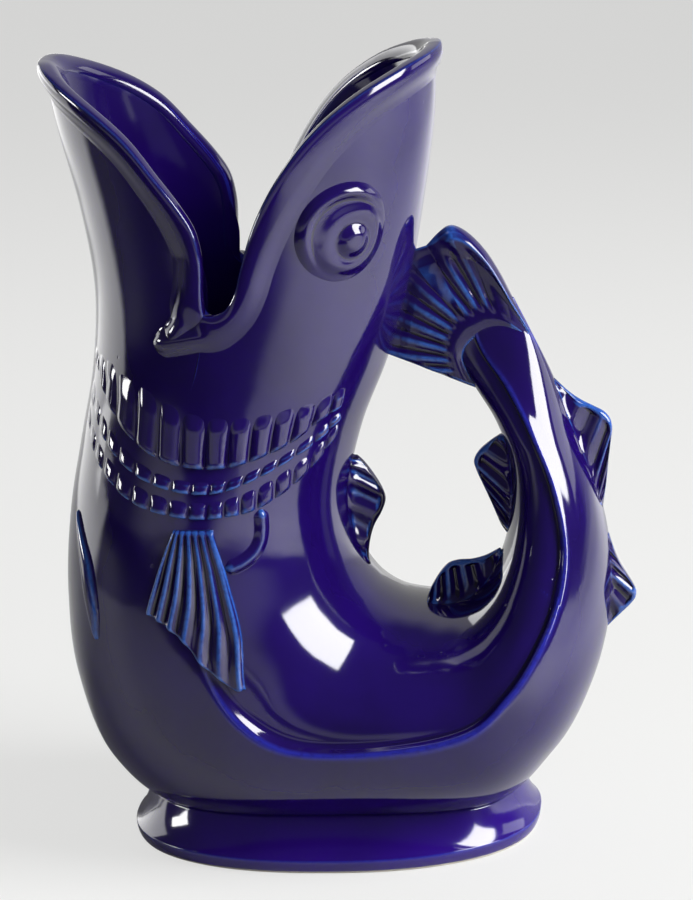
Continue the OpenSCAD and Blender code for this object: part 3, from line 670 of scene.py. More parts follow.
# The finish of each slot
GLAZES = {
    "glaze_body": glaze_material("body_glaze", FULL_BLUE, DEEP_AND_SHADED_BLUE, RIDGE_BLUE),
    "glaze_edge": glaze_material("rib_glaze", FULL_BLUE, DEEP_AND_SHADED_BLUE, BROKEN_BLUE),
    "glaze_gill": glaze_material("gill_glaze", FULL_BLUE, DEEP_AND_SHADED_BLUE, BROKEN_BLUE),
    "glaze_eye": glaze_material("eye_glaze", FULL_BLUE, DEEP_AND_SHADED_BLUE, RIDGE_BLUE),
    "glaze_foot": glaze_material("foot_glaze_painted_lighter", FOOT_BLUE_PAINTED_LIGHTER, FULL_BLUE, RIDGE_BLUE, wiped=True),
}
print("finishes:", [glaze.name for glaze in GLAZES.values()])

# %% [markdown]
# Every piece is finished in the same way: its mesh gets the masks and the glaze of its slot, and the plain
# solid it stands for is hidden. Nothing on the jug moves, so all pieces ride on its one body. A thin sheet
# also gets a back, from a Solidify modifier.

# %% Piece helper


def make_piece(name, bm, slot, node, breaks, backing=0.0):
    """Turns a finished bmesh into a glazed piece that stands for its node."""
    mesh = bpy.data.meshes.new(name)
    bm.to_mesh(mesh)
    bm.free()
    mesh.shade_smooth()
    mark_glaze(mesh, breaks)
    mesh.materials.append(GLAZES[slot])
    piece = bpy.data.objects.new(name, mesh)
    scene.collection.objects.link(piece)
    if backing:
        thicken = piece.modifiers.new("backing", "SOLIDIFY")
        thicken.thickness = backing
        thicken.offset = -1
    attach(piece, "root")
    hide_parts(node)
    print(name, "faces:", len(mesh.polygons))


print("slots:", list(GLAZES))

# %% [markdown]
# The body shell is the big hollow casting: head, neck and belly with a V-shaped mouth. On the bench it is
# one clay wall, so here it is one closed sheet too. A plain round grid would cut the mouth's edge into
# steps. So its columns follow that edge on the head and gather at the flank ridge below it, where the form
# turns most.

# %% Columns round the body
FLANK_COLUMNS = len(MOUTH_EDGE) - 1
RIDGE_COLUMN = 12
# Share of the columns on a flank, and which column of the solids it reaches
COLUMN_SHARES = ([0, 0.20, 0.42, 0.58, 0.80, 1], [0, 5, 10.5, 14.5, 18.5, 23])


def flank_columns(count):
    return np.interp(np.linspace(0, 1, count), *COLUMN_SHARES)


def body_deg(k, ridge):
    front = ridge * k / RIDGE_COLUMN
    back = mix(ridge + STEP_SPAN, 180, (k - RIDGE_COLUMN - 1) / (FLANK_COLUMNS - RIDGE_COLUMN - 1))
    step = ridge + STEP_SPAN * (k - RIDGE_COLUMN)
    return np.where(k <= RIDGE_COLUMN, front, np.where(k <= RIDGE_COLUMN + 1, step, back))


def flank_deg(k, station):
    ridge = through(STATIONS, station)[..., 5]
    return mix(through(MOUTH_EDGE, k)[..., 0], body_deg(k, ridge), ease(station, JAW_BASE, COLUMNS_MEET))


def both_flanks(near):
    """Adds the far flank, mirrored, to rows of points on the near one, and closes the ring."""
    far = near[:, -2:0:-1] * [1, -1, 1]
    return np.concatenate([near, far, near[:, :1]], axis=1)


print("columns on one flank of the solids:", FLANK_COLUMNS)

# %% [markdown]
# On the head the rows start at the rim and end at the throat. The line where the rim's round begins lies a
# little way back from the edge, found by walking on the skin, square to that edge. Scaling the edge would be
# simpler, but it would bring the line nearer in some places than in others.

# %% Rows of the head and the belly
RIM_FADE = 1 / 3


def mouth_line(k, back):
    """Station, degrees and direction out of the clay, along the mouth's edge and set back from it."""
    edge = through(MOUTH_EDGE, k)
    deg, station = edge[..., 0], edge[..., 1]
    out_of_clay = across(station, deg)
    station, deg = walk(station, deg, -out_of_clay * back)
    return station, deg, out_of_clay


def jaw_rows(k, lift, count, back):
    station, deg, _ = mouth_line(k, back)
    t = np.linspace(0, 1, count, endpoint=False)[:, None]
    deg = mix(deg, through(MOUTH_EDGE, k)[..., 0], ease(t, 0, RIM_FADE))
    return skin(mix(station, JAW_BASE, t), deg, lift)


def body_rows(k, stations, lift):
    stations = np.asarray(stations)[:, None]
    return skin(stations, flank_deg(k[None, :], stations), np.asarray(lift))


print("height of the throat in mm:", round(skin(JAW_BASE, 0)[2] / MM, 1))

# %% [markdown]
# The rows of the sheet run round the rim, down the outside, fold under the joint of the tail and come back
# up inside. A Solidify modifier could thicken a single skin too, but it would leave the rim square. Here the
# rows round it off, as a wet sponge does on the bench.

# %% Body shell
BODY_COLUMNS = 116
RIM_ROWS, JAW_ROWS, INNER_JAW_ROWS = 9, 40, 16
NECK_END, NECK_ROWS, BELLY_ROWS, INNER_ROWS = 8, 56, 126, 60
RIM_BACK = 1.4 * MM
# Columns: stations past the joint, mm under the skin
DIVE = [(0.06, 0.02), (0.12, 0.10), (0.18, 0.30), (0.22, 0.7)]


def make_body():
    k = flank_columns(BODY_COLUMNS)
    back = RIM_BACK + WALL / 2
    station, deg, out_of_clay = mouth_line(k, back)
    rim = []
    for turn in np.linspace(np.pi, 0, RIM_ROWS)[1:-1]:
        rim.append(skin(station, deg, -WALL / 2 * (1 - cos(turn))) + out_of_clay * WALL / 2 * sin(turn))
    neck = np.linspace(JAW_BASE, NECK_END, NECK_ROWS, endpoint=False)
    outer = np.concatenate([neck, np.linspace(NECK_END, TAIL_JOINT, BELLY_ROWS)])
    dive = np.array(DIVE)
    inner = np.linspace(TAIL_JOINT + dive[-1, 0], JAW_BASE, INNER_ROWS)
    near = np.concatenate([
        np.array(rim),
        jaw_rows(k, 0.0, JAW_ROWS, back),
        body_rows(k, outer, 0.0),
        body_rows(k, TAIL_JOINT + dive[:, 0], -dive[:, 1:] * MM),
        body_rows(k, inner, -WALL),
        jaw_rows(k, -WALL, INNER_JAW_ROWS, back)[::-1],
        np.array(rim)[:1],
    ])
    return laid_grid(both_flanks(near))


make_piece("jug_body", make_body(), "glaze_body", "body_shell", SKIN_BREAK)

# %% [markdown]
# The tail is the jug's handle. It grows out of the belly, curls up and flattens out into the tail fin. A
# curve with a bevel would keep one round section, but this tail thins as it rises, so it is lofted with the
# same ovals as the body. Where the two castings meet, each dives under the other, which hides the seam as
# the glaze does.

# %% Tail handle
TAIL_COLUMNS = 60
TAIL_ROWS, INNER_TAIL_ROWS, CAP_ROWS = 130, 14, 8
TAIL_CAP, ROWS_FOR_RUN = 1.0 * MM, 8
FLAT_FROM, FLAT_LEFT = 17.6, 0.34


def make_tail():
    k = flank_columns(TAIL_COLUMNS)
    dive = np.array(DIVE[::-1])
    start = TAIL_JOINT - dive[:, 0]
    inner = body_rows(k, np.linspace(HOLLOW_END, start[0], INNER_TAIL_ROWS), -WALL + SEAT)
    stations = np.linspace(TAIL_JOINT, TAIL_END, TAIL_ROWS)
    outer = body_rows(k, stations, 0.0)
    outer[..., 1] *= mix(1, FLAT_LEFT, ease(stations, FLAT_FROM, TAIL_END))[:, None]
    middle = outer[-1].mean(0) * [1, 0, 1]
    run = unit(middle - outer[-ROWS_FOR_RUN].mean(0) * [1, 0, 1])
    turns = np.linspace(0, np.pi / 2, CAP_ROWS)[1:]
    cap = [mix(middle, outer[-1], cos(a)) + run * TAIL_CAP * sin(a) for a in turns]
    tip = inner[:1].mean(1, keepdims=True) * [1, 0, 1] + inner[:1] * 0
    near = np.concatenate([tip, inner, body_rows(k, start, -dive[:, 1:] * MM), outer, np.array(cap)])
    return laid_grid(both_flanks(near))


make_piece("tail_handle_skin", make_tail(), "glaze_body", "tail_handle", TAIL_BREAK)

# %% [markdown]
# The foot is a flared oval ring. Its neck follows the line where a level cut meets the belly. A Boolean
# modifier could cut the belly there, but it would leave ragged faces. Here the two stations at the ends of
# the cut are found by halving the search again and again, and the rest of the line follows from them.

# %% Where the foot meets the belly
FOOT_H, FOOT_SEAT_H = 15 * MM, 3 * MM
FRONT_SEARCH, BACK_SEARCH = (8, 11), (11, 14)
FOOT_COLUMNS, HALVINGS = 90, 30


def crossing(height, low, high):
    """Station where the belly line passes a height."""
    rising = skin(low, 0)[2] < height
    for _ in range(HALVINGS):
        half = (low + high) / 2
        if (skin(half, 0)[2] < height) == rising:
            low = half
        else:
            high = half
    return low


def level_line(height, lift):
    """The belly's outline at a height, from its front to its back on the near side."""
    station = mix(crossing(height, *FRONT_SEARCH), crossing(height, *BACK_SEARCH),
                  (1 - np.cos(np.linspace(0, np.pi, FOOT_COLUMNS))) / 2)
    front, back = skin(station, 0)[:, 2], skin(station, 180)[:, 2]
    share = (height - (front + back) / 2) / ((front - back) / 2)
    return skin(station, np.degrees(np.arccos(np.clip(share, -1, 1))), lift)


print("the foot's neck starts at station:", round(crossing(FOOT_H, *FRONT_SEARCH), 3))

# %% [markdown]
# From that line a hollow curve runs out to the sharp edge and turns under it. A lathe form would be round,
# so the profile is instead swept from the belly's oval to a wider and squarer one.

# %% Foot
FLARE_END, FLARE_SIDE = 5 * MM, 10 * MM
EDGE_H, FOOT_ROUND, EDGE_ROWS = 4.5 * MM, 2.5 * MM, 9
NECK_SINK, SQUARENESS = 0.3 * MM, 2.3
# Columns: way from the neck out to the edge, way from the edge up to the neck
FLARE_SHARES = [
    (0.0, 1.0), (0.04, 0.93), (0.10, 0.84), (0.19, 0.70), (0.34, 0.50), (0.52, 0.32), (0.72, 0.16),
    (0.90, 0.045), (0.975, 0.012),
]


def make_foot():
    neck = level_line(FOOT_H, -NECK_SINK)
    seat = level_line(FOOT_H - FOOT_SEAT_H, SEAT)
    half = np.array([np.ptp(neck[:, 0]) / 2, np.abs(neck[:, 1]).max()])
    centre = (neck[:, 0].max() + neck[:, 0].min()) / 2
    angle = np.arctan2(neck[:, 1] / half[1], (neck[:, 0] - centre) / half[0])
    turn = np.stack([np.cos(angle), np.sin(angle)], -1)
    oval = np.sign(turn) * np.abs(turn) ** (2 / SQUARENESS)
    edge = oval * (half + [FLARE_END, FLARE_SIDE]) + [centre, 0]
    inward = -unit(edge - neck[:, :2]) * FOOT_ROUND
    rings = []
    for reach, height in FLARE_SHARES:
        flat = mix(neck[:, :2], edge, reach)
        rings.append(np.column_stack([flat, np.full(len(flat), mix(EDGE_H, FOOT_H, height))]))
    for a in np.linspace(0, np.pi / 2, EDGE_ROWS):
        flat = edge + inward * (1 - cos(a))
        rings.append(np.column_stack([flat, np.full(len(flat), EDGE_H * (1 - sin(a)))]))
    rings.append(np.column_stack([seat[:, :2], np.zeros(len(seat))]))
    rings.append(seat)
    rings.append(rings[0])
    rings = np.array(rings)
    # Both ends of the near side lie in the middle plane
    rings[..., 1][:, [0, -1]] = 0
    return laid_grid(both_flanks(rings))


make_piece("flared_foot", make_foot(), "glaze_foot", "foot_ring", EDGE_BREAK)

# %% [markdown]
# The two jaws end in rolled lips. A lip is a soft bead on the skin whose inner side rolls over the rim into
# the mouth, with a crisp crest where the glaze breaks to light blue. At the corner of the mouth it leaves
# the rim and becomes a plain bead. So two closed profiles are blended by how near the rim is, and swept
# along the jaw.

# %% Beads on the skin
# Columns: station, degrees round the oval
LOWER_LIP_LINE = [
    (0.36, 0), (0.38, 14), (0.55, 30), (0.81, 45), (1.12, 56), (1.52, 64.5), (1.90, 71), (2.27, 75),
    (2.54, 75), (2.78, 74), (3.0, 72.4), (3.17, 70.4), (3.31, 67.6), (3.41, 65),
]
UPPER_LIP_LINE = [
    (0.38, 180), (0.40, 168), (0.48, 153), (0.64, 138), (0.86, 127), (1.12, 118), (1.42, 111),
    (1.78, 104.5), (2.12, 99.5), (2.43, 96), (2.72, 93.5), (2.98, 90), (3.18, 84), (3.28, 76),
    (3.34, 69), (3.38, 63), (3.39, 59),
]
# Columns: share of half the width, share of the height
BEAD_SHARES = [
    (-1.70, -0.16), (-1.30, 0.02), (-0.92, 0.30), (-0.50, 0.78), (0.0, 1.0), (0.50, 0.78), (0.92, 0.30),
    (1.30, 0.02), (1.70, -0.16), (1.70, -0.45), (1.35, -0.70), (0.90, -0.85), (0.40, -0.90), (-0.10, -0.95),
    (-0.60, -0.90), (-1.0, -0.80), (-1.40, -0.65), (-1.70, -0.40),
]
# Columns: reach towards the rim in mm, whether it counts from the rim, height in mm
ROLL_PROFILE = [
    (-7.4, 0, -0.35), (-6.0, 0, 0.02), (-4.6, 0, 0.36), (-3.2, 0, 1.00), (-1.9, 0, 1.65), (-0.6, 0, 2.08),
    (-2.5, 1, 2.15), (-1.1, 1, 1.90), (-0.20, 1, 1.42), (-0.05, 1, 0.2), (-0.15, 1, -1.2), (-0.45, 1, -2.2),
    (-1.3, 1, -3.3), (-2.6, 1, -4.3), (-4.0, 1, -4.62), (-5.7, 1, -4.42), (-6.3, 1, -3.0), (-6.2, 0, -1.4),
]
PROFILE_POINTS = 40
BEAD_SINK = 0.6 * MM


def closed_through(profile, count):
    """A smooth closed curve through profile points, along axis 1."""
    loop = np.concatenate([profile[:, -1:], profile, profile[:, :2]], axis=1)
    t = np.linspace(1, 1 + profile.shape[1], count)
    curve = through(np.moveaxis(loop, 1, 0).reshape(loop.shape[1], -1), t)
    return np.moveaxis(curve.reshape(count, profile.shape[0], 2), 0, 1)


def bead(spots, profile, length):
    """A closed bead along a line of spots; profile[spot, point] holds steps across the line and heights."""
    station, deg = spots[:, 0], spots[:, 1]
    full = round_ends(skin(station, deg), length)[:, None]
    profile = closed_through(profile, PROFILE_POINTS)
    reach = profile[..., 0] * full
    height = mix(-BEAD_SINK, profile[..., 1], full)
    step = across(station, deg)[:, None, :] * reach[..., None]
    station = np.broadcast_to(station[:, None], reach.shape)
    deg = np.broadcast_to(deg[:, None], reach.shape)
    return laid_grid(skin(*walk(station, deg, step), height), fill=True)


print("points round a bead:", PROFILE_POINTS)

# %% [markdown]
# Each lip is one bead, swept from the near corner of the mouth round the jaw to the far corner. A curve with
# a bevel could be swept too, but it would keep one profile all the way. The distance to the rim is worked
# out for every spot of the lip, so the roll keeps its place on the clay edge. The two lips run into each
# other under the corner of the mouth.

# %% Lips
LIP_W, LIP_H = 6.6 * MM, 2.1 * MM
LIP_SPOTS, RIM_SPOTS = 320, 600
ROLL_NEAR, ROLL_FAR = 4.4 * MM, 9.5 * MM
LIP_END = 5.0 * MM


def rim_distance(points):
    k = np.linspace(0, FLANK_COLUMNS, RIM_SPOTS)
    edge = through(MOUTH_EDGE, k)
    rim = skin(edge[:, 1], edge[:, 0])
    rim = np.concatenate([rim, rim * [1, -1, 1]])
    return np.linalg.norm(points[:, None] - rim[None], axis=-1).min(1)


def mirrored_line(line):
    line = np.array(line, float)
    other = line[:0:-1].copy()
    other[:, 1] = 2 * line[0, 1] - other[:, 1]
    return np.concatenate([other, line])


def make_lip(line, toward_mouth):
    spots = along(mirrored_line(line), np.linspace(0, 1, LIP_SPOTS))
    rim = rim_distance(skin(spots[:, 0], spots[:, 1]))
    rolled = 1 - ease(rim, ROLL_NEAR, ROLL_FAR)
    table = np.array(ROLL_PROFILE)
    roll = np.stack([table[:, 0] * MM + table[:, 1] * rim[:, None], table[:, 2] * MM + 0 * rim[:, None]], -1)
    plain = np.array(BEAD_SHARES) * [LIP_W / 2, LIP_H]
    profile = mix(plain, roll, rolled[:, None, None]) * [toward_mouth, 1]
    return bead(spots, profile, LIP_END)


for name, node, line, toward_mouth in [
    ("rolled_lower_lip", "lower_lip", LOWER_LIP_LINE, 1),
    ("rolled_upper_lip", "upper_lip", UPPER_LIP_LINE, -1),
]:
    make_piece(name, make_lip(line, toward_mouth), "glaze_edge", node, LIP_BREAK)

# %% [markdown]
# The fins in the middle of the fish are thick webs with ribs. Each is a loft from its root, which reaches
# into the body, to its free edge. The thickness rounds off to nothing at that edge, so one sheet that runs
# up one side and down the other closes there by itself, and only its root is filled. A flat plate with a
# Bevel modifier would keep one thickness, and these swell from rib to rib.

# %% Web of a fin
RIB_SHARP = 1.8
ROW_POWER, RUN_AT = 1.7, 0.7


def ribs(turns):
    """From -1 in a valley to 0 on a crest; there is a crest at every whole turn."""
    return np.abs(np.cos(np.pi * turns)) ** RIB_SHARP - 1


def in_plane(shares):
    spot = place(shares[..., 0], shares[..., 1])
    return np.stack([spot[..., 0], np.zeros(len(spot)), spot[..., 1]], -1)


def web(base, rim, half, rows, end):
    """A closed web between two lines, whose rows gather at the edge; half(t) gives half its thickness."""
    length = np.linalg.norm(rim - base, axis=1)
    ends = round_ends(mix(base, rim, RUN_AT), end)
    sheet = []
    for v in np.linspace(-1, 1, 2 * rows + 1):
        t = 1 - abs(v) ** ROW_POWER
        thick = half(t)
        edge = quarter_round(length * (1 - t) / np.maximum(thick, MERGE))
        row = mix(base, rim, t)
        row[:, 1] += np.sign(v) * thick * edge * ends
        sheet.append(row)
    return laid_grid(np.array(sheet), fill=True)


print("rib a quarter turn from its crest:", ribs(0.25).round(3))

# %% [markdown]
# The five small fins differ only in where they stand and in their outlines, so one helper makes them all.
# The ribs of each lean, because the root is shared out unevenly: the lean is the power that does it. A small
# fillet joins the root to the skin, as wet clay smoothed with a finger does.

# %% Small fins
FIN_ROOT_T, FIN_EDGE_T, RIB_H = 5.6 * MM, 3.0 * MM, 1.05 * MM
ROOT_DEPTH = 1.6 * MM
FILLET, FILLET_REACH = 1.0 * MM, 1.5 * MM
FIN_RIBS, FIN_RIB_COLUMNS, FIN_ROWS, FIN_END = 5, 24, 34, 1.4 * MM
RIBS_FULL, RIBS_FADE = 1 / 3, (0.84, 0.96)
# Each fin: stations of its root, degrees of its side, lean, x and z of its free edge as shares
NECK_FIN = ((5.5, 7.6), 180, 2.2, [
    (0.066, 0.484), (0.080, 0.474), (0.098, 0.456), (0.111, 0.439), (0.115, 0.426), (0.107, 0.410),
    (0.092, 0.392), (0.083, 0.372), (0.080, 0.354), (0.083, 0.342),
])
LOOP_FIN = ((10, 14.3), 180, 1.5, [
    (0.183, 0.296), (0.195, 0.315), (0.211, 0.332), (0.226, 0.342), (0.245, 0.346), (0.270, 0.347),
    (0.296, 0.352), (0.321, 0.361),
])
INNER_FIN = ((14.95, 17.6), 180, 2.0, [
    (0.334, 0.381), (0.322, 0.396), (0.308, 0.421), (0.294, 0.444), (0.283, 0.462), (0.279, 0.475),
    (0.288, 0.487), (0.308, 0.499), (0.328, 0.508),
])
UPPER_FIN = ((16.6, 18.95), 0, 2.2, [
    (0.511, 0.412), (0.519, 0.445), (0.525, 0.478), (0.530, 0.502), (0.532, 0.515), (0.528, 0.526),
    (0.517, 0.535), (0.499, 0.542), (0.477, 0.550), (0.455, 0.561), (0.430, 0.578),
])
LOWER_FIN = ((14.75, 16.25), 0, 0.6, [
    (0.514, 0.257), (0.527, 0.266), (0.541, 0.275), (0.556, 0.285), (0.566, 0.294), (0.568, 0.303),
    (0.563, 0.312), (0.552, 0.325), (0.541, 0.338), (0.533, 0.351), (0.527, 0.364), (0.521, 0.378),
])


def small_fin(root, side, lean, edge):
    s = np.linspace(0, 1, FIN_RIB_COLUMNS * FIN_RIBS + 1)
    base = skin(mix(root[0], root[1], s**lean), side, -ROOT_DEPTH)
    rim = in_plane(along(edge, s))
    length = np.linalg.norm(rim - base, axis=1)

    def half(t):
        lift = np.maximum(length * t - ROOT_DEPTH, 0)
        fillet = FILLET * np.exp(-lift / FILLET_REACH)
        rib = RIB_H * ribs(s * FIN_RIBS) * ease(t, 0, RIBS_FULL) * (1 - ease(t, *RIBS_FADE))
        return mix(FIN_ROOT_T, FIN_EDGE_T, t) / 2 + rib + fillet

    return web(base, rim, half, FIN_ROWS, FIN_END)


for node, fin in [
    ("neck_fin", NECK_FIN), ("loop_fin", LOOP_FIN), ("tail_fin_inner", INNER_FIN),
    ("anal_fin_upper", UPPER_FIN), ("anal_fin_lower", LOWER_FIN),
]:
    make_piece(node + "_web", small_fin(*fin), "glaze_edge", node, RIB_BREAK)

# %% [markdown]
# The tail fin fans from the thinned end of the tail to the back of the head. Half of its outline lies on the
# head, so that side is sunk in it, and the other half is free, with a thick border that runs on down the
# tail. Its ribs all point at one spot in the tail. They could be shared out along the outline as in the
# small fins, but then they would bend, so here a rib is a direction: the angle seen from that spot.

# %% Tail fin
TAIL_FIN_T, TAIL_FIN_END = 8 * MM, 2.0 * MM
TAIL_FIN_COLUMNS, TAIL_FIN_ROWS = 231, 60
TAIL_FIN_HEAD = (3.92, 2.62)
# Columns: station on the tail, share of the way from its back to its belly
TAIL_FIN_ROOT = [
    (18.95, 0.03), (19.6, 0.05), (20.1, 0.09), (20.4, 0.22), (20.5, 0.42), (20.45, 0.62), (20.3, 0.80),
    (19.9, 0.96),
]
TAIL_FIN_OUTLINE = [
    (0.207, 0.748), (0.228, 0.763), (0.247, 0.772), (0.266, 0.770), (0.290, 0.758), (0.316, 0.737),
    (0.339, 0.710), (0.357, 0.684), (0.375, 0.659), (0.392, 0.635),
]
# Columns: way from the root to the edge, share of the thickness by the head, and in the free half
TAIL_FIN_SHARES = [
    (0, 0.66, 0.66), (0.05, 0.76, 0.74), (0.12, 0.82, 0.78), (0.25, 0.76, 0.73), (0.55, 0.60, 0.66),
    (0.72, 0.44, 0.70), (0.82, 0.28, 0.96), (0.90, 0.22, 1.12), (0.96, 0.20, 1.12), (1, 0.18, 1.0),
]
FAN_SPOT = (0.361, 0.597)
# Degrees seen from that spot
FIRST_RIB, RIB_TURN, LAST_RIB, LAST_RIB_FADE = 5.5, 8.8, 72, 4
FREE_HALF, LAST_STRETCH, LAST_THINNER = (0.5, 0.625), (0.86, 1), 0.35
RIBS_RISE, BORDER_RISE = (0.16, 0.38), (0.76, 0.86)
FAN_RIB_H, HEAD_RIB_SHARE = 0.85 * RIB_H, 0.6
HEAD_SINK = 3.2 * MM


def make_tail_fin():
    s = np.linspace(0, 1, TAIL_FIN_COLUMNS)
    first, last = s < 0.5, s >= 0.5
    root = along(TAIL_FIN_ROOT, s)
    base = mix(skin(root[:, 0], 180), skin(root[:, 0], 0), root[:, 1:])
    rim = np.concatenate([
        skin(mix(*TAIL_FIN_HEAD, s[first] * 2), 180, -HEAD_SINK),
        in_plane(along(TAIL_FIN_OUTLINE, s[last] * 2 - 1)),
    ])
    table = np.array(TAIL_FIN_SHARES)
    free = ease(s, *FREE_HALF)
    fan = place(*FAN_SPOT)

    def half(t):
        body = mix(np.interp(t, table[:, 0], table[:, 1]), np.interp(t, table[:, 0], table[:, 2]), free)
        body = body * (1 - LAST_THINNER * ease(s, *LAST_STRETCH))
        spot = mix(base, rim, t)
        angle = np.degrees(np.arctan2(spot[:, 2] - fan[1], fan[0] - spot[:, 0]))
        turns = np.minimum((angle - FIRST_RIB) / RIB_TURN, (LAST_RIB - FIRST_RIB) / RIB_TURN)
        rib = FAN_RIB_H * ribs(turns) * ease(t, *RIBS_RISE) * (1 - free * ease(t, *BORDER_RISE))
        rib = rib * (1 - ease(angle, LAST_RIB - LAST_RIB_FADE, LAST_RIB + LAST_RIB_FADE))
        return TAIL_FIN_T / 2 * body + rib * mix(1, HEAD_RIB_SHARE, t * (1 - free))

    return web(base, rim, half, TAIL_FIN_ROWS, TAIL_FIN_END)


make_piece("tail_fin_web", make_tail_fin(), "glaze_edge", "tail_fin", RIB_BREAK)

# %% [markdown]
# Other reliefs are sprigs: thin pads of clay pressed on the wet skin. Displacing the body's own faces would
# need many more of them, so a sprig is a sheet of its own, laid on spots of the skin with a height for each.
# Its border dips under the skin in a small round, so no gap shows, and a Solidify modifier gives it a back
# inside the wall.

# %% Sprig helper
SPRIG_BACK = 1.0 * MM
SINK, BORDER_ROUND = 0.35 * MM, 0.8 * MM
# On the right flank the degrees of a line count the other way
SIDES = ((1, "left"), (-1, "right"))


def border_rise(station, deg):
    """0 at the border of a sheet of spots, rising in a round to 1 inside it."""
    points = skin(station, deg)
    return round_ends(points, BORDER_ROUND, 0) * round_ends(points, BORDER_ROUND, 1)


def sprig(name, node, station, deg, height, hand, slot, breaks):
    bm = laid_grid(skin(station, hand * deg, height))
    bm.normal_update()
    middle = Vector(skin(station.mean(), hand * deg.mean()))
    out = Vector(outward(station.mean(), hand * deg.mean()))
    nearest = min(bm.faces, key=lambda face: (face.calc_center_median() - middle).length)
    if nearest.normal.dot(out) < 0:
        bmesh.ops.reverse_faces(bm, faces=bm.faces)
    make_piece(name, bm, slot, node, breaks, backing=SPRIG_BACK)


print("back of a sprig in mm:", SPRIG_BACK / MM)

# %% [markdown]
# The gill cover is a crescent of fourteen fingers, and under it lie two rows of short teeth. All of them lie
# like shingles: each swells out of the skin, rises towards its foot and ends there in a rounded step, where
# the glaze breaks to light blue. They are low at the breast. Each could be a piece of its own, but in the
# mould they are one relief, so one sheet with one height for each spot makes them all.

# %% Shingles
PAD_SIDES, TOP_SHARE = 3, 0.35
BREAST_SHARE, BREAST_FADE = 0.35, 0.36


def shingle(x, swell, slope, foot):
    """Height share of a pad: x runs from -1 to 1 across it, swell grows from 0 at its top to 1 lower down,
    slope runs from 0 to 1 down its length, and foot falls from 1 to 0 in its last stretch."""
    return (1 - np.abs(x) ** PAD_SIDES) * smooth(swell) * mix(TOP_SHARE, 1, slope) * quarter_round(foot)


def from_breast(s):
    """Reliefs of the gill are low at the breast, where s is 0, and soon reach their full height."""
    return mix(BREAST_SHARE, 1, ease(s, 0, BREAST_FADE))


def spots_between(upper, lower, s, t):
    spot = mix(along(upper, s)[None, :], along(lower, s)[None, :], t[:, None, None])
    return spot[..., 0], spot[..., 1]


print("full height from this share of the gill on:", BREAST_FADE)

# %% [markdown]
# The fingers lie between the line of their tops and the rim of the gill. A finger swells over a little more
# than its own width and rounds off in under a third of it, so long fingers and short ones have the same
# ends.

# %% Gill covers
# Columns: station, degrees round the oval
GILL_TOP_LINE = [
    (3.54, 11), (3.57, 23), (3.62, 37), (3.79, 54), (4.02, 70), (4.17, 85), (4.20, 98), (4.17, 110),
    (4.11, 122), (4.05, 134), (4.02, 143),
]
GILL_RIM_LINE = [
    (3.76, 17), (4.12, 30), (4.42, 43), (4.78, 61), (4.98, 77), (5.05, 91), (5.03, 103), (4.93, 114),
    (4.78, 124.5), (4.52, 135), (4.40, 143),
]
FINGERS, FINGER_H = 14, 1.8 * MM
FINGER_COLUMNS, FINGER_ROWS = 20, 46
# Both in widths of a finger
FINGER_SWELL, FINGER_FOOT = 1.1, 0.30


def gill_cover(hand, name, node):
    s = np.linspace(0, 1, FINGERS * FINGER_COLUMNS + 1)
    t = np.linspace(0, 1, FINGER_ROWS)
    station, deg = spots_between(GILL_TOP_LINE, GILL_RIM_LINE, s, t)
    points = skin(station, deg)
    length = np.linalg.norm(points[-1] - points[0], axis=-1)
    width = np.linalg.norm(np.gradient(points, axis=1), axis=-1).mean(0) * FINGER_COLUMNS
    x = 2 * ((s * FINGERS) % 1) - 1
    t = t[:, None]
    swell = t * length / (FINGER_SWELL * width)
    foot = (1 - t) * length / (FINGER_FOOT * width)
    height = mix(-SINK, FINGER_H * from_breast(s), shingle(x[None, :], swell, t, foot))
    sprig(name, node, station, deg, height, hand, "glaze_gill", EDGE_BREAK)


for hand, side in SIDES:
    gill_cover(hand, "gill_fingers_" + side, "gill_cover_" + side)

# %% [markdown]
# The teeth are short pads of the same kind, in two rows that meet in a thin groove. A smooth band of skin is
# left between them and the fingers. Both rows lie in one sheet, so the groove needs no work of its own.

# %% Gill teeth
# Columns: station, degrees round the oval
TEETH_LINE = [
    (4.34, 15), (4.66, 32), (4.92, 46), (5.18, 62), (5.34, 77), (5.41, 91), (5.38, 102), (5.25, 113),
    (5.08, 124.5), (4.86, 138), (4.58, 147),
]
TEETH_RIM_LINE = [
    (4.56, 18), (4.98, 32), (5.28, 47), (5.54, 63), (5.67, 78), (5.74, 92), (5.74, 104), (5.70, 115),
    (5.52, 127), (5.22, 139), (4.82, 148),
]
TEETH, TOOTH_H = 17, 1.4 * MM
TOOTH_COLUMNS, TOOTH_ROWS = 16, 18
# Shares of the way between two lines
FIRST_ROW, SECOND_ROW = (0.32, 0.96), (0.06, 1)
# Shares of a tooth's length
TOOTH_SWELL, TOOTH_FOOT = 0.5, 0.28


def gill_teeth(hand, name, node):
    s = np.linspace(0, 1, TEETH * TOOTH_COLUMNS + 1)
    t = np.linspace(0, 1, TOOTH_ROWS + 1)
    first = spots_between(GILL_RIM_LINE, TEETH_LINE, s, mix(*FIRST_ROW, t))
    second = spots_between(TEETH_LINE, TEETH_RIM_LINE, s, mix(*SECOND_ROW, t[1:]))
    station = np.concatenate([first[0], second[0]])
    deg = np.concatenate([first[1], second[1]])
    x = 2 * ((s * TEETH) % 1) - 1
    t = t[:, None]
    pad = shingle(x[None, :], t / TOOTH_SWELL, t, (1 - t) / TOOTH_FOOT)
    height = mix(-SINK, TOOTH_H * from_breast(s), pad)
    height = np.concatenate([height, height[1:]])
    sprig(name, node, station, deg, height, hand, "glaze_gill", EDGE_BREAK)


for hand, side in SIDES:
    gill_teeth(hand, "gill_pillows_" + side, "gill_teeth_" + side)

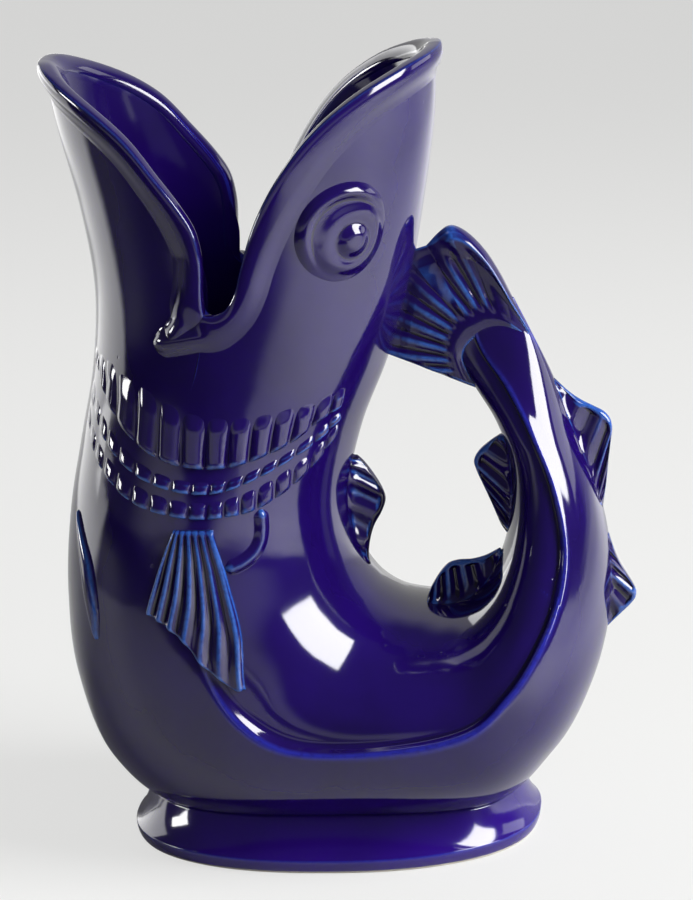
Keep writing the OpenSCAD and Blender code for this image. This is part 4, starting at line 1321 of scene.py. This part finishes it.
# %% [markdown]
# The side fins under the gills are thick fans. Their ribs meet at the top and spread towards a stepped lower
# edge, and the last rib is a broad border, so the ribs are shared out by a power and not evenly. Each could
# be cut from a disc, but laid between two lines that spread, every row of faces runs along its rib.

# %% Pectoral fins
# Columns: station, degrees round the oval
PECTORAL_LEFT_LINE = [(5.86, 83), (6.2, 79.5), (6.6, 75.5), (6.98, 71.5)]
PECTORAL_RIGHT_LINE = [(5.88, 99), (6.6, 105), (7.5, 106.5), (8.47, 100)]
PECTORAL_EDGE_LINE = [
    (6.98, 71.5), (7.12, 77), (7.28, 81.5), (7.5, 86), (7.84, 89.5), (8.12, 93), (8.42, 96.5), (8.47, 100),
]
PECTORAL_RIBS, PECTORAL_RIB_COLUMNS, PECTORAL_ROWS = 7, 18, 70
PECTORAL_H, PECTORAL_RIB_H, PECTORAL_SPREAD = 2.4 * MM, 1.2 * MM, 0.76
# Shares of the height at the first rib, and of the ribs' depth at the top
FIRST_RIB_SHARE, RIB_TOP_SHARE, RIB_FULL = 0.62, 0.14, 2 / 3


def pectoral_fin(hand, name, node):
    s, t = np.linspace(0, 1, PECTORAL_RIB_COLUMNS * PECTORAL_RIBS + 1), np.linspace(0, 1, PECTORAL_ROWS)
    first, last = along(PECTORAL_LEFT_LINE, t)[:, None], along(PECTORAL_RIGHT_LINE, t)[:, None]
    straight = mix(np.array(PECTORAL_LEFT_LINE[-1]), np.array(PECTORAL_RIGHT_LINE[-1]), s[:, None])
    bow = along(PECTORAL_EDGE_LINE, s) - straight
    spot = mix(first, last, s[None, :, None]) + bow[None] * t[:, None, None]
    station, deg = spot[..., 0], spot[..., 1]
    wave = 0.5 - 0.5 * np.cos(2 * np.pi * s**PECTORAL_SPREAD * PECTORAL_RIBS)
    depth = PECTORAL_RIB_H * mix(RIB_TOP_SHARE, 1, ease(t, 0, RIB_FULL))[:, None]
    height = PECTORAL_H * mix(FIRST_RIB_SHARE, 1, s[None, :]) - depth * (1 - wave)[None, :]
    height = mix(-SINK, height, border_rise(station, deg))
    sprig(name, node, station, deg, height, hand, "glaze_edge", FAN_BREAK)


for hand, side in SIDES:
    pectoral_fin(hand, "pectoral_fan_" + side, "pectoral_fin_" + side)

# %% [markdown]
# The pelvic fins are slim leaves, and the hooks are short curled ribs beside the side fins. A leaf is a
# sprig whose width swells and fades along its middle line. A hook is a bead like the lips, with one plain
# profile, so the helper that made those serves again.

# %% Pelvic fins and hooks
# Columns: station, degrees round the oval
PELVIC_LINE = [(5.84, 28), (6.4, 39), (6.9, 43.5), (7.4, 45.5)]
HOOK_LINE = [
    (5.68, 117.5), (5.84, 118.5), (6.0, 119), (6.16, 118.4), (6.30, 116), (6.40, 112), (6.45, 108),
    (6.46, 104),
]
PELVIC_HALF_DEG, PELVIC_H = 4.2, 1.8 * MM
LEAF_ROWS, LEAF_COLUMNS = 70, 31
# Powers of the leaf's outline and dome, and the shares of length, width and height at its tips
LEAF_BLUNT, LEAF_DOME, TIP_CUT, TIP_WIDTH, TIP_HEIGHT = 0.6, 2.2, 0.001, 0.12, 0.3
HOOK_W, HOOK_H, HOOK_END, HOOK_SPOTS = 3.6 * MM, 1.4 * MM, 2.4 * MM, 90


def pelvic_fin(hand, name, node):
    t, q = np.linspace(0, 1, LEAF_ROWS), np.linspace(-1, 1, LEAF_COLUMNS)
    line = along(PELVIC_LINE, t)
    swell = np.sin(np.pi * np.clip(t, TIP_CUT, 1 - TIP_CUT)) ** LEAF_BLUNT
    station = np.repeat(line[:, :1], len(q), axis=1)
    deg = line[:, 1:] + q[None, :] * PELVIC_HALF_DEG * mix(TIP_WIDTH, 1, swell)[:, None]
    dome = np.sqrt(1 - np.abs(q) ** LEAF_DOME)[None, :] * border_rise(station, deg)
    height = mix(-SINK, PELVIC_H * mix(TIP_HEIGHT, 1, swell)[:, None], dome)
    sprig(name, node, station, deg, height, hand, "glaze_edge", RIB_BREAK)


def fin_hook(hand, name, node):
    spots = along(HOOK_LINE, np.linspace(0, 1, HOOK_SPOTS)) * [1, hand]
    profile = np.repeat([np.array(BEAD_SHARES) * [HOOK_W / 2, HOOK_H]], HOOK_SPOTS, axis=0)
    make_piece(name, bead(spots, profile, HOOK_END), "glaze_edge", node, EDGE_BREAK)


for hand, side in SIDES:
    pelvic_fin(hand, "pelvic_leaf_" + side, "pelvic_fin_" + side)
    fin_hook(hand, "fin_hook_bead_" + side, "fin_hook_" + side)

# %% [markdown]
# The eye is a soft ring round a domed pupil, both on one low disc, with a brow behind it. The ring and the
# pupil are bell curves of the distance from a middle of their own, which sits a little off the disc's. The
# brow follows the distance from the middle of the disc. Separate domes could be set on each other, but one
# sheet has no seams for the glaze to fill. The brow is joined to the rest by a soft maximum, which keeps the
# higher of the two and rounds the corner between them.

# %% Eyes
EYE_PLACE, EYE_R, EYE_H = (2.11, 127.5), 15 * MM, 3.3 * MM
EYE_ROWS, EYE_COLUMNS = 90, 151
# Shares of the eye's radius
EYE_SHIFT, PUPIL_R, RING_AT, RING_WIDE = 0.15, 0.28, 0.54, 0.17
DISC_FADE, BROW_AT, BROW_WIDE, BORDER_FROM = (0.60, 0.96), 0.80, 0.17, 0.90
# Shares of its height
DISC_H, PUPIL_H, RING_H, BROW_H, BROW_FRONT = 0.40, 0.54, 0.17, 0.68, 0.30
# Where the brow is highest and how it fades to both sides
BROW_TURN, BROW_FACING = radians(215), (-0.5, 0.8)
# Powers of the pupil's dome and of the soft maximum
PUPIL_DOME, SOFT_MAX = 4, 4


def eye(hand, name, node):
    r = np.linspace(0, 1, EYE_ROWS)[:, None]
    a = np.radians(np.linspace(0, 360, EYE_COLUMNS))[None, :]
    down, back = r * np.cos(a), r * np.sin(a)
    near = np.hypot(down - EYE_SHIFT, back - EYE_SHIFT)
    pupil = PUPIL_H * np.exp(-((near / PUPIL_R) ** PUPIL_DOME))
    ring = RING_H * np.exp(-(((near - RING_AT) / RING_WIDE) ** 2))
    disc = DISC_H * (1 - ease(r, *DISC_FADE)) + pupil + ring
    facing = ease(np.cos(a - BROW_TURN), *BROW_FACING)
    brow = BROW_H * np.exp(-(((r - BROW_AT) / BROW_WIDE) ** 2)) * mix(BROW_FRONT, 1, facing)
    border = quarter_round((1 - r) / (1 - BORDER_FROM))
    height = mix(-SINK, EYE_H, (disc**SOFT_MAX + brow**SOFT_MAX) ** (1 / SOFT_MAX) * border)
    slope_s, slope_d = slopes(*EYE_PLACE)
    station = EYE_PLACE[0] + EYE_R * down / np.linalg.norm(slope_s)
    deg = EYE_PLACE[1] + EYE_R * back / np.linalg.norm(slope_d)
    sprig(name, node, station, deg, height, hand, "glaze_eye", NO_BREAK)


for hand, side in SIDES:
    eye(hand, "eye_disc_" + side, "eye_" + side)
